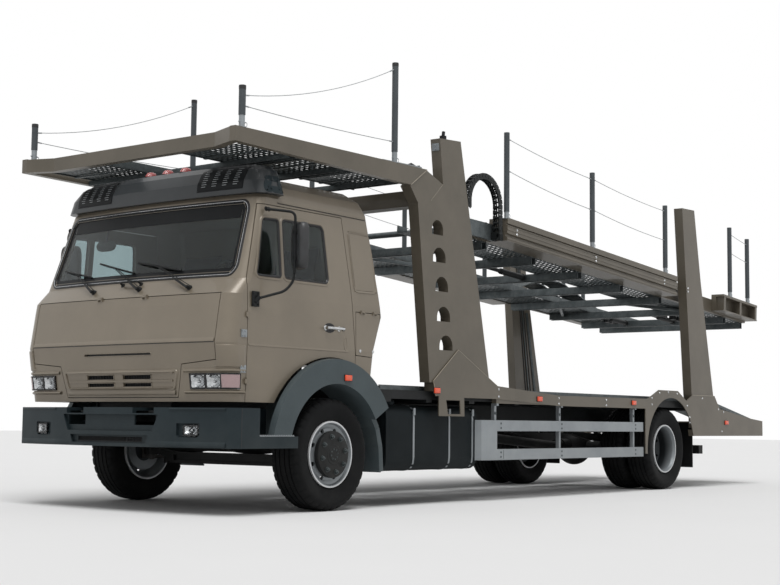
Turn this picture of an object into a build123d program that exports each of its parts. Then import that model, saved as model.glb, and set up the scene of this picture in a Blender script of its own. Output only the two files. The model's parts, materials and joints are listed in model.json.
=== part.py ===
from build123d import *
import os
from math import atan2, cos, hypot, radians, sin, tan

os.makedirs("parts", exist_ok=True)

# Lengths are in millimetres. +X is forward, +Y is the driver's left, +Z is up.
# The origin is on the ground, midway between the bumper's front and the tail's end.
# Outlines give each point as a station, counted forward from the front axle, and a height.

# Overall sizes
body_half_width = 1250
bumper_reach = 1300
tail_reach = 8220
wheelbase = 5757
front_axle_x = (tail_reach - bumper_reach) / 2
rear_axle_x = front_axle_x - wheelbase
running_gap = 0.05
seat_gap = 0.3

# Wheels
tyre_diameter = 895
tyre_width = 285
bead_radius = 252
rim_half_width = 106
rim_lip = 15
rim_wall = 14
front_wheel_y = body_half_width - 188
rear_wheel_y = body_half_width - 202
twin_spacing = 325
hub_bore = 35
rear_spindle = 45
wheel_z = tyre_diameter / 2

# Chassis
rail_outer_y = 435
rail_width = 70
rail_height = 220
rail_wall = 8
rail_top = 880
rail_front = 1032
rail_rear = -7050
kingpin_y = front_wheel_y - 175
kingpin_radius = 22
eye_radius = 48
eye_height = 90
arm_back = 180
arm_pad = 28
spring_width = 75

# Cab
cab_half_width = body_half_width - 68
cab_wall = 45
floor_bottom = 1170
floor_top = 1220
cab_bottom = 845
panel_gap = 6
door_hinge_station = 985
arch_clearance = 112
arch_band = 200
arch_inner = tyre_diameter / 2 + arch_clearance
arch_outer = arch_inner + arch_band
lid_top = 1655
lid_half_width = cab_half_width - 132
lamp_inner = cab_half_width - 402
lamp_low = 938
lamp_high = 1056
lamp_rear = 1045
lamp_depth = 20
lamp_proud = 10

# Over-cab deck and posts
plate = 10
post_depth = 105
post_outer_y = body_half_width - plate
post_inner_y = post_outer_y - post_depth
cab_deck_rim = 60

# Lift and main deck
deck_tilt = 4.15
pivot_station = -2000
pivot_z = 2500
pivot_tube_radius = 28
side_member_y = post_inner_y - 135
side_member_width = 40
runway_inner_y = 430
runway_wall = 12
runway_level = -35
shoe_gap = 0.5
guide_width = 60
guide_depth = 42

# Platform
platform_top = 980
runway_top = 1022
sill_depth = 60
tail_bottom = 588


def station(ahead):
    return front_axle_x + ahead


def side_plane(y):
    # Drawn as seen from the right: local x is forward and local y is up; extrusions run inwards from the left
    return Plane(origin=(0, y, 0), x_dir=(1, 0, 0), z_dir=(0, -1, 0))


def from_front_axle(outline):
    return [(station(ahead), height) for ahead, height in outline]


def side_plate(outline, y_outer, thickness, mode=Mode.ADD):
    with BuildSketch(side_plane(y_outer)) as face:
        with BuildLine():
            Polyline(*from_front_axle(outline), close=True)
        make_face()
    extrude(face.sketch, amount=thickness, mode=mode)


def on_side(side, near, far):
    # The (low, high) pair of Y between two distances from the middle, on the left (1) or the right (-1)
    return tuple(sorted((side * near, side * far)))


def block(ahead, across, height, mode=Mode.ADD):
    # Each argument is a (low, high) pair: stations, Y and Z
    with Locations((station(sum(ahead) / 2), sum(across) / 2, sum(height) / 2)):
        Box(ahead[1] - ahead[0], across[1] - across[0], height[1] - height[0], mode=mode)


def rod(start, end, radius, mode=Mode.ADD):
    path = Vector(*end) - Vector(*start)
    with BuildSketch(Plane(origin=start, z_dir=path)) as circle:
        Circle(radius)
    extrude(circle.sketch, amount=path.length, mode=mode)


def save(part, name):
    part.label = name
    export_step(part, f"parts/{name}.step")


# Wheels

def wheel_plane(x, y):
    # Local x is along the axle and local y is up from its centre
    return Plane(origin=(x, y, wheel_z), x_dir=(0, 1, 0), z_dir=(1, 0, 0))


def turn_profile(x, y, profile):
    with BuildSketch(wheel_plane(x, y)) as face:
        with BuildLine():
            Polyline(*profile, close=True)
        make_face()
    revolve(face.sketch, axis=Axis((x, y, wheel_z), (0, 1, 0)))


def tyre(x, y):
    half = tyre_width / 2
    crown = tyre_diameter / 2
    seat = rim_half_width - 2
    outer = [(seat, bead_radius), (seat, bead_radius + 15), (half - 12, bead_radius + 45),
             (half, bead_radius + 90), (half - 4, crown - 62), (half - 16, crown - 26), (half - 24, crown - 12),
             (half - 38, crown - 5)]
    inner = [(-across, radius) for across, radius in reversed(outer)]
    turn_profile(x, y, outer + [(30, crown), (-30, crown)] + inner)


def rim_barrel(side):
    # Outer contour of a rim, from its inboard lip to its outboard lip
    edge = rim_half_width
    seat = bead_radius - seat_gap
    lip = seat + 12
    return [(side * -(edge + rim_lip), lip), (side * -edge, lip), (side * -edge, seat),
            (side * edge, seat), (side * edge, lip), (side * (edge + rim_lip), lip),
            (side * (edge + rim_lip), seat - 4), (side * (edge - 6), seat - rim_wall)]


def vent_holes(x, y, count, circle, radius, reach):
    for turn in range(count):
        angle = radians(360 * (turn + 0.5) / count)
        centre = (x + circle * sin(angle), y, wheel_z + circle * cos(angle))
        far = (centre[0], y + reach, centre[2])
        rod(centre, far, radius, mode=Mode.SUBTRACT)


for name, side in (("left", 1), ("right", -1)):
    y = side * front_wheel_y
    with BuildPart() as front_tyre:
        tyre(front_axle_x, y)
    save(front_tyre.part, f"front_tyre_{name}")
    barrel = rim_barrel(side)
    inner = bead_radius - seat_gap - rim_wall
    disc = [(side * 88, 205), (side * 96, 165), (side * 96, 105), (side * 140, 100), (side * 146, 92),
            (side * 146, 62), (side * 156, 52), (side * 156, 0), (side * 112, 0),
            (side * 112, hub_bore + running_gap),
            (side * -72, hub_bore + running_gap), (side * -72, 182), (side * -20, 182), (side * -20, 105),
            (side * 82, 112), (side * 82, 165), (side * 74, 205), (side * 62, inner - 4), (side * -90, inner),
            (side * -(rim_half_width + rim_lip), bead_radius - 5)]
    with BuildPart() as front_rim:
        turn_profile(front_axle_x, y, barrel + disc)
        vent_holes(front_axle_x, y, 8, 196, 20, side * 120)
    save(front_rim.part, f"front_rim_{name}")

    outer_y = side * rear_wheel_y
    inner_y = side * (rear_wheel_y - twin_spacing)
    with BuildPart() as rear_tyres:
        tyre(rear_axle_x, outer_y)
        tyre(rear_axle_x, inner_y)
    save(rear_tyres.part, f"rear_tyres_{name}")
    dish = twin_spacing / 2
    with BuildPart() as rear_rims:
        for centre, way in ((outer_y, -side), (inner_y, side)):
            turn_profile(rear_axle_x, centre, rim_barrel(way) + [
                (way * 96, inner - 3), (way * 128, 196), (way * dish, 170), (way * dish, 110),
                (way * (dish - 14), 110), (way * (dish - 14), 160), (way * 112, 190), (way * 70, inner),
                (way * -90, inner), (way * -(rim_half_width + rim_lip), bead_radius - 5)])
        turn_profile(rear_axle_x, (outer_y + inner_y) / 2, [
            (side * -205, rear_spindle + running_gap), (side * 118, rear_spindle + running_gap),
            (side * 118, 0), (side * 134, 0), (side * 134, 60), (side * 120, 72), (side * 20, 112),
            (side * -20, 112),
            (side * -60, 112), (side * -60, 190), (side * -205, 190)])
        vent_holes(rear_axle_x, outer_y - side * 220, 8, 214, 16, side * 150)
    save(rear_rims.part, f"rear_rims_{name}")


# Front axle, knuckles and track rod

neck = eye_height / 2 - 5
with BuildPart() as front_axle:
    low_bend = kingpin_y - 295
    high_bend = kingpin_y - 145
    beam = [(kingpin_y, -neck), (high_bend, -neck), (low_bend, -110), (-low_bend, -110), (-high_bend, -neck),
            (-kingpin_y, -neck), (-kingpin_y, neck), (20 - high_bend, neck), (10 - low_bend, -15),
            (low_bend - 10, -15), (high_bend - 20, neck), (kingpin_y, neck)]
    with BuildSketch(Plane.YZ.offset(front_axle_x - 40)) as beam_face:
        with BuildLine():
            Polyline(*[(y, wheel_z + z) for y, z in beam], close=True)
        make_face()
    extrude(beam_face.sketch, amount=80)
    for face_x, way in ((40, 1), (-40, -1)):
        with Locations((front_axle_x + face_x - way * 12, 0, wheel_z - 62)):
            Box(24, 2 * low_bend - 40, 50, mode=Mode.SUBTRACT)
    for side in (1, -1):
        with Locations((front_axle_x, side * kingpin_y, wheel_z)):
            Cylinder(eye_radius, eye_height)
            Cylinder(kingpin_radius + running_gap, eye_height, mode=Mode.SUBTRACT)
save(front_axle.part, "front_axle")

ear = 32
ear_gap = 0.5
web_in = eye_radius + 5
web_out = web_in + 24
ear_top = eye_height / 2 + ear_gap + ear
arm_pin_radius = 11
for name, side in (("left", 1), ("right", -1)):
    king_y = side * kingpin_y
    with BuildPart() as knuckle:
        for low in (eye_height / 2 + ear_gap, -ear_top):
            with BuildSketch(Plane.XY.offset(wheel_z + low)) as ear_face:
                with Locations((front_axle_x, king_y)):
                    Circle(eye_radius - 2)
                with Locations((front_axle_x, king_y + side * web_out / 2)):
                    Rectangle(2 * eye_radius - 4, web_out)
            extrude(ear_face.sketch, amount=ear)
        with Locations((front_axle_x, king_y + side * (web_in + web_out) / 2, wheel_z)):
            Box(2 * eye_radius - 4, web_out - web_in, 2 * ear_top)
        with Locations((front_axle_x, king_y, wheel_z)):
            Cylinder(kingpin_radius, 2 * ear_top + 20)
        rod((front_axle_x, king_y + side * web_out, wheel_z),
            (front_axle_x, side * (front_wheel_y + 106), wheel_z), hub_bore)
        with BuildSketch(Plane.XY.offset(wheel_z - ear_top)) as arm_face:
            with BuildLine():
                Polyline((front_axle_x - 20, king_y + side * 30),
                         (front_axle_x - arm_back, king_y + side * arm_pad),
                         (front_axle_x - arm_back, king_y - side * arm_pad),
                         (front_axle_x - 20, king_y - side * 40), close=True)
            make_face()
            with Locations((front_axle_x - arm_back, king_y)):
                Circle(arm_pad)
                Circle(arm_pin_radius + running_gap, mode=Mode.SUBTRACT)
        extrude(arm_face.sketch, amount=24)
    save(knuckle.part, f"knuckle_{name}")

track_rod_drop = ear_top + seat_gap
with BuildPart() as track_rod:
    rod_z = wheel_z - track_rod_drop - 22
    rod((front_axle_x - arm_back, -kingpin_y, rod_z), (front_axle_x - arm_back, kingpin_y, rod_z), 17)
    for side in (1, -1):
        with Locations((front_axle_x - arm_back, side * kingpin_y, rod_z)):
            Cylinder(27, 44)
        with Locations((front_axle_x - arm_back, side * kingpin_y, wheel_z - track_rod_drop + 12)):
            Cylinder(arm_pin_radius, 24)
save(track_rod.part, "track_rod")

# Rear axle with the propeller shaft's flange

with BuildPart() as rear_axle:
    inner_face = rear_wheel_y - twin_spacing / 2 - 205
    rod((rear_axle_x, -inner_face + 12, wheel_z), (rear_axle_x, inner_face - 12, wheel_z), 68)
    spindle_end = rear_wheel_y - twin_spacing / 2 + 112
    rod((rear_axle_x, -spindle_end, wheel_z), (rear_axle_x, spindle_end, wheel_z), rear_spindle)
    with Locations((rear_axle_x, 0, wheel_z)):
        Sphere(205)
    rod((rear_axle_x + 150, 0, wheel_z + 10), (rear_axle_x + 330, 0, wheel_z + 10), 85)
save(rear_axle.part, "rear_axle")


# Springs: a curved pack from eye to eye, hung from the rails by a shackle at each end

def leaf_pack(centre, seat, half_length, thickness):
    eye = rail_top - rail_height - 40
    for side in (1, -1):
        y_outer = side * (rail_outer_y - 2) if side > 0 else side * (rail_outer_y - 2 - spring_width)
        with BuildSketch(side_plane(y_outer)) as pack:
            with BuildLine():
                low = ThreePointArc((centre - half_length, eye - 8), (centre, seat),
                                    (centre + half_length, eye - 8))
                high = ThreePointArc((centre - half_length, eye + 8), (centre, seat + thickness),
                                     (centre + half_length, eye + 8))
                Line(low @ 0, high @ 0)
                Line(low @ 1, high @ 1)
            make_face()
            with Locations((centre - half_length, eye), (centre + half_length, eye)):
                Circle(24)
            with Locations((centre - half_length, eye + 22), (centre + half_length, eye + 22)):
                Rectangle(50, 36)
        extrude(pack.sketch, amount=spring_width)


with BuildPart() as leaf_springs:
    leaf_pack(front_axle_x, wheel_z - 15, 780, 62)
    leaf_pack(rear_axle_x, wheel_z + 68, 800, 90)
save(leaf_springs.part, "leaf_springs")

# Chassis frame

jaw_y = 395
jaw_low = 632
jaw_plate = 18
jaw_gap = 110
jaw_bore = 18
jaw_pin_station = 1140
underrun_low = 375
underrun_top = 475
underrun_reach = body_half_width - 250
shaft_end = -wheelbase + 330
shaft_front = (station(-1160), 0, 755)
shaft_rear = (station(shaft_end + 80), 0, wheel_z + 10)
with BuildPart() as chassis_frame:
    rail_bottom = rail_top - rail_height
    for side in (1, -1):
        outer = side * rail_outer_y
        inner = side * (rail_outer_y - rail_width)
        across = (min(outer, inner), max(outer, inner))
        block((rail_rear, rail_front), across, (rail_bottom, rail_top))
        hollow = (min(inner, outer - side * rail_wall), max(inner, outer - side * rail_wall))
        block((rail_rear, rail_front), hollow, (rail_bottom + rail_wall, rail_top - rail_wall),
              mode=Mode.SUBTRACT)
    for ahead in (980, -1250, -2400, -3600, -4900, -6350, -7000):
        block((ahead - 35, ahead + 35), (-(rail_outer_y - rail_wall), rail_outer_y - rail_wall),
              (rail_bottom + 30, rail_top - 30))
    rod(shaft_front, shaft_rear, 88, mode=Mode.SUBTRACT)
    for side in (1, -1):
        block((880, 960), (side * 400 - 35, side * 400 + 35), (rail_top, floor_bottom))
        block((-480, -420), (side * 400 - 35, side * 400 + 35), (rail_top, floor_bottom))
        block((-7040, -6960), (side * 400 - 30, side * 400 + 30), (underrun_top - 5, rail_bottom + 5))
    block((-7050, -6950), (-underrun_reach, underrun_reach), (underrun_low, underrun_top))
    block((960, rail_front), (-700, 700), (rail_bottom + 40, rail_bottom + 120))
    for side in (1, -1):
        for low in (jaw_low, jaw_low + jaw_plate + jaw_gap):
            block((rail_front, jaw_pin_station + 45), (side * jaw_y - 50, side * jaw_y + 50),
                  (low, low + jaw_plate))
        block((960, rail_front), (side * jaw_y - 50, side * jaw_y + 50),
              (jaw_low, jaw_low + 2 * jaw_plate + jaw_gap))
        rod((station(jaw_pin_station), side * jaw_y, jaw_low), (station(jaw_pin_station), side * jaw_y,
            jaw_low + 2 * jaw_plate + jaw_gap), jaw_bore, mode=Mode.SUBTRACT)
save(chassis_frame.part, "chassis_frame")

with BuildPart() as engine_block:
    block((-560, 480), (-330, 330), (600, 1140))
save(engine_block.part, "engine_block")

with BuildPart() as driveline:
    block((-1080, -560), (-190, 190), (600, 860))
    rod((station(-1080), 0, shaft_front[2]), shaft_front, 75)
    rod(shaft_front, shaft_rear, 52)
    rod(shaft_rear, (station(shaft_end) + seat_gap, 0, wheel_z + 10), 75)
save(driveline.part, "driveline")


# Cab: level sections, each a bowed front with rounded corners, straight sides and a flat back
# Columns: height, front at the centre, how far the front falls back, in from the cab's half width,
# corner size, rear

cab_rows = [
    (845, 1165, 35, 14, 95, -500),
    (1285, 1228, 30, 0, 110, -545),
    (1580, 1185, 32, 6, 105, -655),
    (1655, 1172, 34, 8, 100, -645),
    (1775, 1090, 70, 16, 90, -625),
    (2425, 868, 62, 74, 80, -510),
    (2530, 805, 60, 120, 110, -470),
    (2605, 690, 55, 217, 130, -395),
]
cab_sections = [(height, front, fall, cab_half_width - inward, corner, rear)
                for height, front, fall, inward, corner, rear in cab_rows]


def section_edges(height, front, fall, half, corner, rear, inset):
    front_x = station(front) - inset[0]
    rear_x = station(rear) + inset[2]
    half_y = half - inset[1]
    shoulder = front_x - fall
    rear_corner = 40
    y_in = half_y - corner
    lean = 0.7
    ThreePointArc((shoulder, -y_in), (front_x, 0), (shoulder, y_in))
    ThreePointArc((shoulder, y_in), (shoulder - corner * (1 - lean) * 1.25, y_in + corner * lean),
                  (shoulder - corner, half_y))
    Line((shoulder - corner, half_y), (rear_x + rear_corner, half_y))
    ThreePointArc((rear_x + rear_corner, half_y), (rear_x + rear_corner * 0.3, half_y - rear_corner * 0.3),
                  (rear_x, half_y - rear_corner))
    Line((rear_x, half_y - rear_corner), (rear_x, rear_corner - half_y))
    ThreePointArc((rear_x, rear_corner - half_y), (rear_x + rear_corner * 0.3, rear_corner * 0.3 - half_y),
                  (rear_x + rear_corner, -half_y))
    Line((rear_x + rear_corner, -half_y), (shoulder - corner, -half_y))
    ThreePointArc((shoulder - corner, -half_y), (shoulder - corner * (1 - lean) * 1.25, -y_in - corner * lean),
                  (shoulder, -y_in))


def between(height):
    # The cab's section at any height, in proportion between the two rows around it
    for low, high in zip(cab_sections, cab_sections[1:]):
        if height <= high[0] or high is cab_sections[-1]:
            share = (height - low[0]) / (high[0] - low[0])
            return tuple(a + share * (b - a) for a, b in zip(low, high))


cab_top = cab_sections[-1][0]
with BuildPart() as cab_outer:
    for row in cab_sections:
        with BuildSketch(Plane.XY.offset(row[0])):
            with BuildLine():
                section_edges(*row, (0, 0, 0))
            make_face()
    loft(ruled=True)


def cab_inside(bottom, top, front_inset, side_inset, rear_inset):
    rows = [between(bottom)] + [row for row in cab_sections if bottom + 1 < row[0] < top - 1] + [between(top)]
    with BuildPart() as inside:
        for row in rows:
            with BuildSketch(Plane.XY.offset(row[0])):
                with BuildLine():
                    section_edges(*row, (front_inset, side_inset, rear_inset))
                make_face()
        loft(ruled=True)
    return inside.part


cabin = cab_inside(floor_top, cab_top - cab_wall, cab_wall, cab_wall, cab_wall)
skin_cut = cab_inside(cab_bottom, cab_top - 5, cab_wall, cab_wall, cab_wall)
lamp_back = cab_inside(cab_bottom, lid_top, lamp_depth, lamp_depth, lamp_depth)
lamp_front = cab_inside(cab_bottom, lid_top, -lamp_proud, -lamp_proud, -lamp_proud)
press_depth = cab_inside(1655, 2425, 5, 5, 5)
glass_out = cab_inside(1700, 2480, 8, 8, 8)
glass_in = cab_inside(1700, 2480, 16, 16, 16)

door_front = door_hinge_station - panel_gap
door_outline = [(door_front, cab_bottom), (door_front, 1745), (800, 2365), (-165, 2365), (-238, 1780),
                (-290, 1230), (-290, cab_bottom)]
front_window_outline = [(868, 1812), (848, 1872), (772, 2250), (603, 2256), (603, 1812)]
main_window_outline = [(552, 1812), (552, 2262), (98, 2262), (74, 2232), (42, 1838), (62, 1812)]
screen_corner = [(cab_half_width - 167, 1830), (cab_half_width - 140, 1870), (cab_half_width - 176, 2330),
                 (cab_half_width - 207, 2372)]
windscreen_outline = screen_corner + [(-y, height) for y, height in reversed(screen_corner)]
locker_outline = [(-300, 1600), (-612, 1600), (-612, 1510), (-575, 1262), (-520, 1240), (-300, 1250)]
pressed_outline = [(-240, 2267), (-532, 2259), (-578, 1775), (-289, 1768)]
lid_outline = [(lid_half_width, lid_top), (lid_half_width, 1160), (700, 1130), (640, 880), (-640, 880),
               (-700, 1130), (-lid_half_width, 1160), (-lid_half_width, lid_top)]


# Hinges in front of the seam: a sleeve on the shell around a pin between two ears on the lid
hinge_pin = 3.5
hinge_sleeve = 6.5
lid_axis = 1181
lid_axis_z = lid_top + panel_gap / 2
lid_hinges = (-260, 260)
locker_axis_y = cab_half_width + 2
locker_axis_z = 1600 + panel_gap / 2
locker_hinges = (-380, -540)
door_hinge_y = cab_half_width + 3
door_hinges = (1000, 1500)


def grown(outline, amount):
    with BuildSketch() as face:
        with BuildLine():
            Polyline(*outline, close=True)
        make_face()
        if amount:
            offset(amount=amount, kind=Kind.INTERSECTION)
    return face.sketch


def side_prism(outline, amount, y_outer, depth, mode=Mode.ADD):
    # A prism through one side of the cab; the outline may be grown for the gap around a panel
    shape = grown(from_front_axle(outline), amount)
    extrude(side_plane(y_outer) * shape, amount=depth, mode=mode)


def front_prism(outline, amount, behind, reach, mode=Mode.ADD):
    shape = grown(outline, amount)
    extrude(Plane.YZ.offset(station(behind)) * shape, amount=reach, mode=mode)


def arch_cut(radius, y_low, y_high, mode=Mode.SUBTRACT):
    for side in (1, -1):
        with Locations((front_axle_x, side * (y_low + y_high) / 2, wheel_z)):
            Cylinder(radius, y_high - y_low, rotation=(90, 0, 0), mode=mode)


door_outer_y = body_half_width + 100
side_skin_y = cab_half_width - 192
wall_inner_y = cab_half_width - 72
seam_back = cab_wall + panel_gap
behind_skin = cab_inside(cab_bottom, cab_top - 5, seam_back, seam_back, seam_back)
with BuildPart() as door_openings:
    side_prism(door_outline, panel_gap, door_outer_y, door_outer_y - side_skin_y)
    side_prism(door_outline, panel_gap, -side_skin_y, door_outer_y - side_skin_y)
    add(behind_skin, mode=Mode.SUBTRACT)
with BuildPart() as lamp_recesses:
    for side in (1, -1):
        across = on_side(side, lamp_inner - 2, body_half_width)
        block((lamp_rear - 2, 1300), across, (lamp_low - 2, lamp_high + 2))
    add(lamp_back, mode=Mode.SUBTRACT)
with BuildPart() as pressed_frames:
    for skin_from in (door_outer_y, -side_skin_y):
        side_prism(pressed_outline, 0, skin_from, door_outer_y - side_skin_y)
        side_prism(pressed_outline, -14, skin_from, door_outer_y - side_skin_y, mode=Mode.SUBTRACT)
    add(press_depth, mode=Mode.SUBTRACT)
with BuildPart() as cab_shell:
    add(cab_outer.part)
    add(lamp_recesses.part, mode=Mode.SUBTRACT)
    add(pressed_frames.part, mode=Mode.SUBTRACT)
    add(cabin, mode=Mode.SUBTRACT)
    block((-700, 1010), (-wall_inner_y, wall_inner_y), (cab_bottom - 5, floor_bottom), mode=Mode.SUBTRACT)
    block((-700, 1090), (-620, 620), (cab_bottom - 5, floor_bottom), mode=Mode.SUBTRACT)
    arch_cut(arch_outer + panel_gap, 700, 1300)
    add(door_openings.part, mode=Mode.SUBTRACT)
    front_prism(windscreen_outline, 0, 700, 700, mode=Mode.SUBTRACT)
    front_prism(lid_outline, panel_gap, 1050, 300, mode=Mode.SUBTRACT)
    side_prism(locker_outline, panel_gap, door_outer_y, door_outer_y - wall_inner_y, mode=Mode.SUBTRACT)
    side_prism(locker_outline, panel_gap, -wall_inner_y, door_outer_y - wall_inner_y, mode=Mode.SUBTRACT)
    for y in lid_hinges:
        rod((station(lid_axis), y - 18, lid_axis_z), (station(lid_axis), y + 18, lid_axis_z), hinge_sleeve)
        block((lid_axis - 22, lid_axis - 3), (y - 18, y + 18), (lid_axis_z + 4, lid_axis_z + 16))
        rod((station(lid_axis), y - 18, lid_axis_z), (station(lid_axis), y + 18, lid_axis_z),
            hinge_pin + running_gap, mode=Mode.SUBTRACT)
    for side in (1, -1):
        y = side * locker_axis_y
        for ahead in locker_hinges:
            rod((station(ahead - 18), y, locker_axis_z), (station(ahead + 18), y, locker_axis_z),
                hinge_sleeve)
            block((ahead - 18, ahead + 18), tuple(sorted((y - side * 16, y - side * 2))),
                  (locker_axis_z + 4, locker_axis_z + 16))
            rod((station(ahead - 18), y, locker_axis_z), (station(ahead + 18), y, locker_axis_z),
                hinge_pin + running_gap, mode=Mode.SUBTRACT)
        y = side * door_hinge_y
        hinge_x = station(door_hinge_station)
        for height in door_hinges:
            rod((hinge_x, y, height - 18), (hinge_x, y, height + 18), hinge_sleeve)
            block((door_hinge_station + 3, door_hinge_station + 18),
                  tuple(sorted((y - side * 20, y + side * 4))), (height - 18, height + 18))
            rod((hinge_x, y, height - 18), (hinge_x, y, height + 18), hinge_pin + running_gap,
                mode=Mode.SUBTRACT)
save(cab_shell.part, "cab_shell")

with BuildPart() as windscreen:
    front_prism(windscreen_outline, -1, 700, 700)
    add(glass_out, mode=Mode.INTERSECT)
    add(glass_in, mode=Mode.SUBTRACT)
save(windscreen.part, "windscreen")

# Grille: raised bars with two rows of openings between them, and one long slot above
# Columns: lowest and highest edge, how far from the middle
grille_bars = ((1058, 1072, 610), (996, 1010, 600), (940, 954, 590))
grille_slots = ((1018, 1050), (961, 988))
with BuildPart() as raised_bars:
    for low, high, reach in grille_bars:
        block((1100, 1300), (-reach, reach), (low, high))
    add(cab_outer.part.moved(Location((9, 0, 0))), mode=Mode.INTERSECT)
with BuildPart() as front_lid:
    front_prism(lid_outline, 0, 1052, 300)
    add(cab_outer.part, mode=Mode.INTERSECT)
    add(raised_bars.part)
    add(skin_cut, mode=Mode.SUBTRACT)
    block((1100, 1300), (-385, 385), (1203, 1218), mode=Mode.SUBTRACT)
    for low, high in grille_slots:
        for side in (1, -1):
            block((1100, 1300), on_side(side, 55, 368), (low, high), mode=Mode.SUBTRACT)
    for y in lid_hinges:
        rod((station(lid_axis), y - 26, lid_axis_z), (station(lid_axis), y + 26, lid_axis_z), hinge_pin)
        for ear in (-22.5, 22.5):
            block((lid_axis - 20, lid_axis + 4), (y + ear - 4, y + ear + 4), (lid_top - 14, lid_top + 5))
save(front_lid.part, "front_lid")

for name, side in (("left", 1), ("right", -1)):
    skin_from = door_outer_y if side > 0 else -side_skin_y
    skin_depth = door_outer_y - side_skin_y
    with BuildPart() as door:
        side_prism(door_outline, 0, skin_from, skin_depth)
        add(cab_outer.part, mode=Mode.INTERSECT)
        add(skin_cut, mode=Mode.SUBTRACT)
        arch_cut(arch_outer + 2 * panel_gap, 700, 1300)
        side_prism(front_window_outline, 0, skin_from, skin_depth, mode=Mode.SUBTRACT)
        side_prism(main_window_outline, 0, skin_from, skin_depth, mode=Mode.SUBTRACT)
        axis_y = side * door_hinge_y
        for height in door_hinges:
            rod((hinge_x, axis_y, height - 26), (hinge_x, axis_y, height + 26), hinge_pin)
            for ear in (-22.5, 22.5):
                ear_height = (height + ear - 4, height + ear + 4)
                ear_across = tuple(sorted((axis_y - side * 20, axis_y + side * 4)))
                block((door_hinge_station - 20, door_hinge_station - 7), ear_across, ear_height)
                block((door_hinge_station - 8, door_hinge_station + 4), (axis_y - 4, axis_y + 4), ear_height)
    save(door.part, f"door_{name}")

    with BuildPart() as door_glass:
        side_prism(front_window_outline, -1, skin_from, skin_depth)
        side_prism(main_window_outline, -1, skin_from, skin_depth)
        add(glass_out, mode=Mode.INTERSECT)
        add(glass_in, mode=Mode.SUBTRACT)
    save(door_glass.part, f"door_glass_{name}")

    with BuildPart() as locker_lid:
        lid_from = door_outer_y if side > 0 else -wall_inner_y - 10
        side_prism(locker_outline, 0, lid_from, door_outer_y - wall_inner_y - 10)
        add(cab_outer.part, mode=Mode.INTERSECT)
        add(skin_cut, mode=Mode.SUBTRACT)
        axis_y = side * locker_axis_y
        for ahead in locker_hinges:
            rod((station(ahead - 26), axis_y, locker_axis_z), (station(ahead + 26), axis_y, locker_axis_z),
                hinge_pin)
            for ear in (-22.5, 22.5):
                block((ahead + ear - 4, ahead + ear + 4),
                      tuple(sorted((axis_y - side * 16, axis_y + side * 4))),
                      (locker_axis_z - 14, locker_axis_z + 3))
    save(locker_lid.part, f"locker_lid_{name}")

    # Mirror head on a bent tube that stands off the door's front edge
    with BuildPart() as door_mirror:
        head_y = side * (cab_half_width + 163)
        door_y = side * (cab_half_width + 4)
        with Locations(Location((station(600), head_y, 2075), (0, 0, side * -20))):
            Box(60, 190, 370)
        tube = [(station(905), door_y, 1620), (station(700), door_y + side * 114, 1690),
                (station(620), head_y, 1780), (station(600), head_y, 2300),
                (station(760), door_y - side * 36, 2330)]
        for a, b in zip(tube, tube[1:]):
            rod(a, b, 12)
        for corner in tube[1:4]:
            with Locations(corner):
                Sphere(12)
        block((860, 950), tuple(sorted((door_y - side * 9, door_y + side * 6))), (1560, 1680))
    save(door_mirror.part, f"mirror_{name}")

# Cab fittings: the dashboard meets the front wall and stands clear of the doors

dash_room = cab_inside(floor_top, cab_top - cab_wall, cab_wall, cab_wall + 64, cab_wall)
with BuildPart() as dashboard:
    with BuildSketch(side_plane(cab_half_width)) as dash:
        with BuildLine():
            Polyline(*from_front_axle([(1030, 1560), (1030, 1770), (900, 1800), (700, 1740), (640, 1600),
                                       (780, 1480)]), close=True)
        make_face()
    extrude(dash.sketch, amount=2 * cab_half_width)
    add(dash_room, mode=Mode.INTERSECT)
    wheel_hub = (station(470), 560, 1790)
    rod((station(760), 560, 1600), wheel_hub, 30)
    with Locations(Plane(origin=wheel_hub, z_dir=(-1, 0, 0.62))):
        Torus(215, 15)
        Box(430, 34, 16)
save(dashboard.part, "dashboard")

with BuildPart() as seats:
    for y in (560, -560):
        block((-180, 330), (y - 250, y + 250), (floor_top, floor_top + 330))
        with BuildSketch(side_plane(y + 240)) as back:
            with BuildLine():
                Polyline(*from_front_axle([(-60, 1550), (-180, 1550), (-330, 2180), (-220, 2200)]), close=True)
            make_face()
        extrude(back.sketch, amount=480)
save(seats.part, "seats")

# Sun visor above the windscreen, wrapped round to the tops of the doors
# Columns as for the cab

visor_rows = [
    (2452, 895, 50, 20, 130, 560),
    (2560, 882, 52, 42, 140, 585),
    (2650, 838, 56, 100, 130, 560),
    (2700, 780, 56, 190, 120, 540),
]
with BuildPart() as sun_visor:
    for height, front, fall, inward, corner, rear in visor_rows:
        with BuildSketch(Plane.XY.offset(height)):
            with BuildLine():
                section_edges(height, front, fall, cab_half_width - inward, corner, rear, (0, 0, 0))
            make_face()
    loft(ruled=True)
    add(cab_outer.part.moved(Location((seat_gap, 0, seat_gap))), mode=Mode.SUBTRACT)
save(sun_visor.part, "sun_visor")

# Bumper with its side steps

bumper_top = 800
bumper_skin = 40
bumper_bottom = 500
bumper_recess = 24
step_top = bumper_bottom + 90
half = body_half_width
step_inner = half - 240
tyre_sweep = hypot(tyre_diameter / 2, front_wheel_y + tyre_width / 2 - kingpin_y) + 5
plate_bay = [(550, 746), (486, 620), (-486, 620), (-550, 746)]
air_bay = [(450, 588), (425, 526), (-425, 526), (-450, 588)]
fog_bay = [(half - 522, 682), (half - 308, 682), (half - 308, 596), (half - 330, 578), (half - 505, 578),
           (half - 522, 592)]
fog_lamp = [(half - 462, 672), (half - 318, 672), (half - 318, 600), (half - 334, 586), (half - 462, 586)]


def both_ways(outline, side):
    return [(side * y, height) for y, height in outline]


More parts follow.
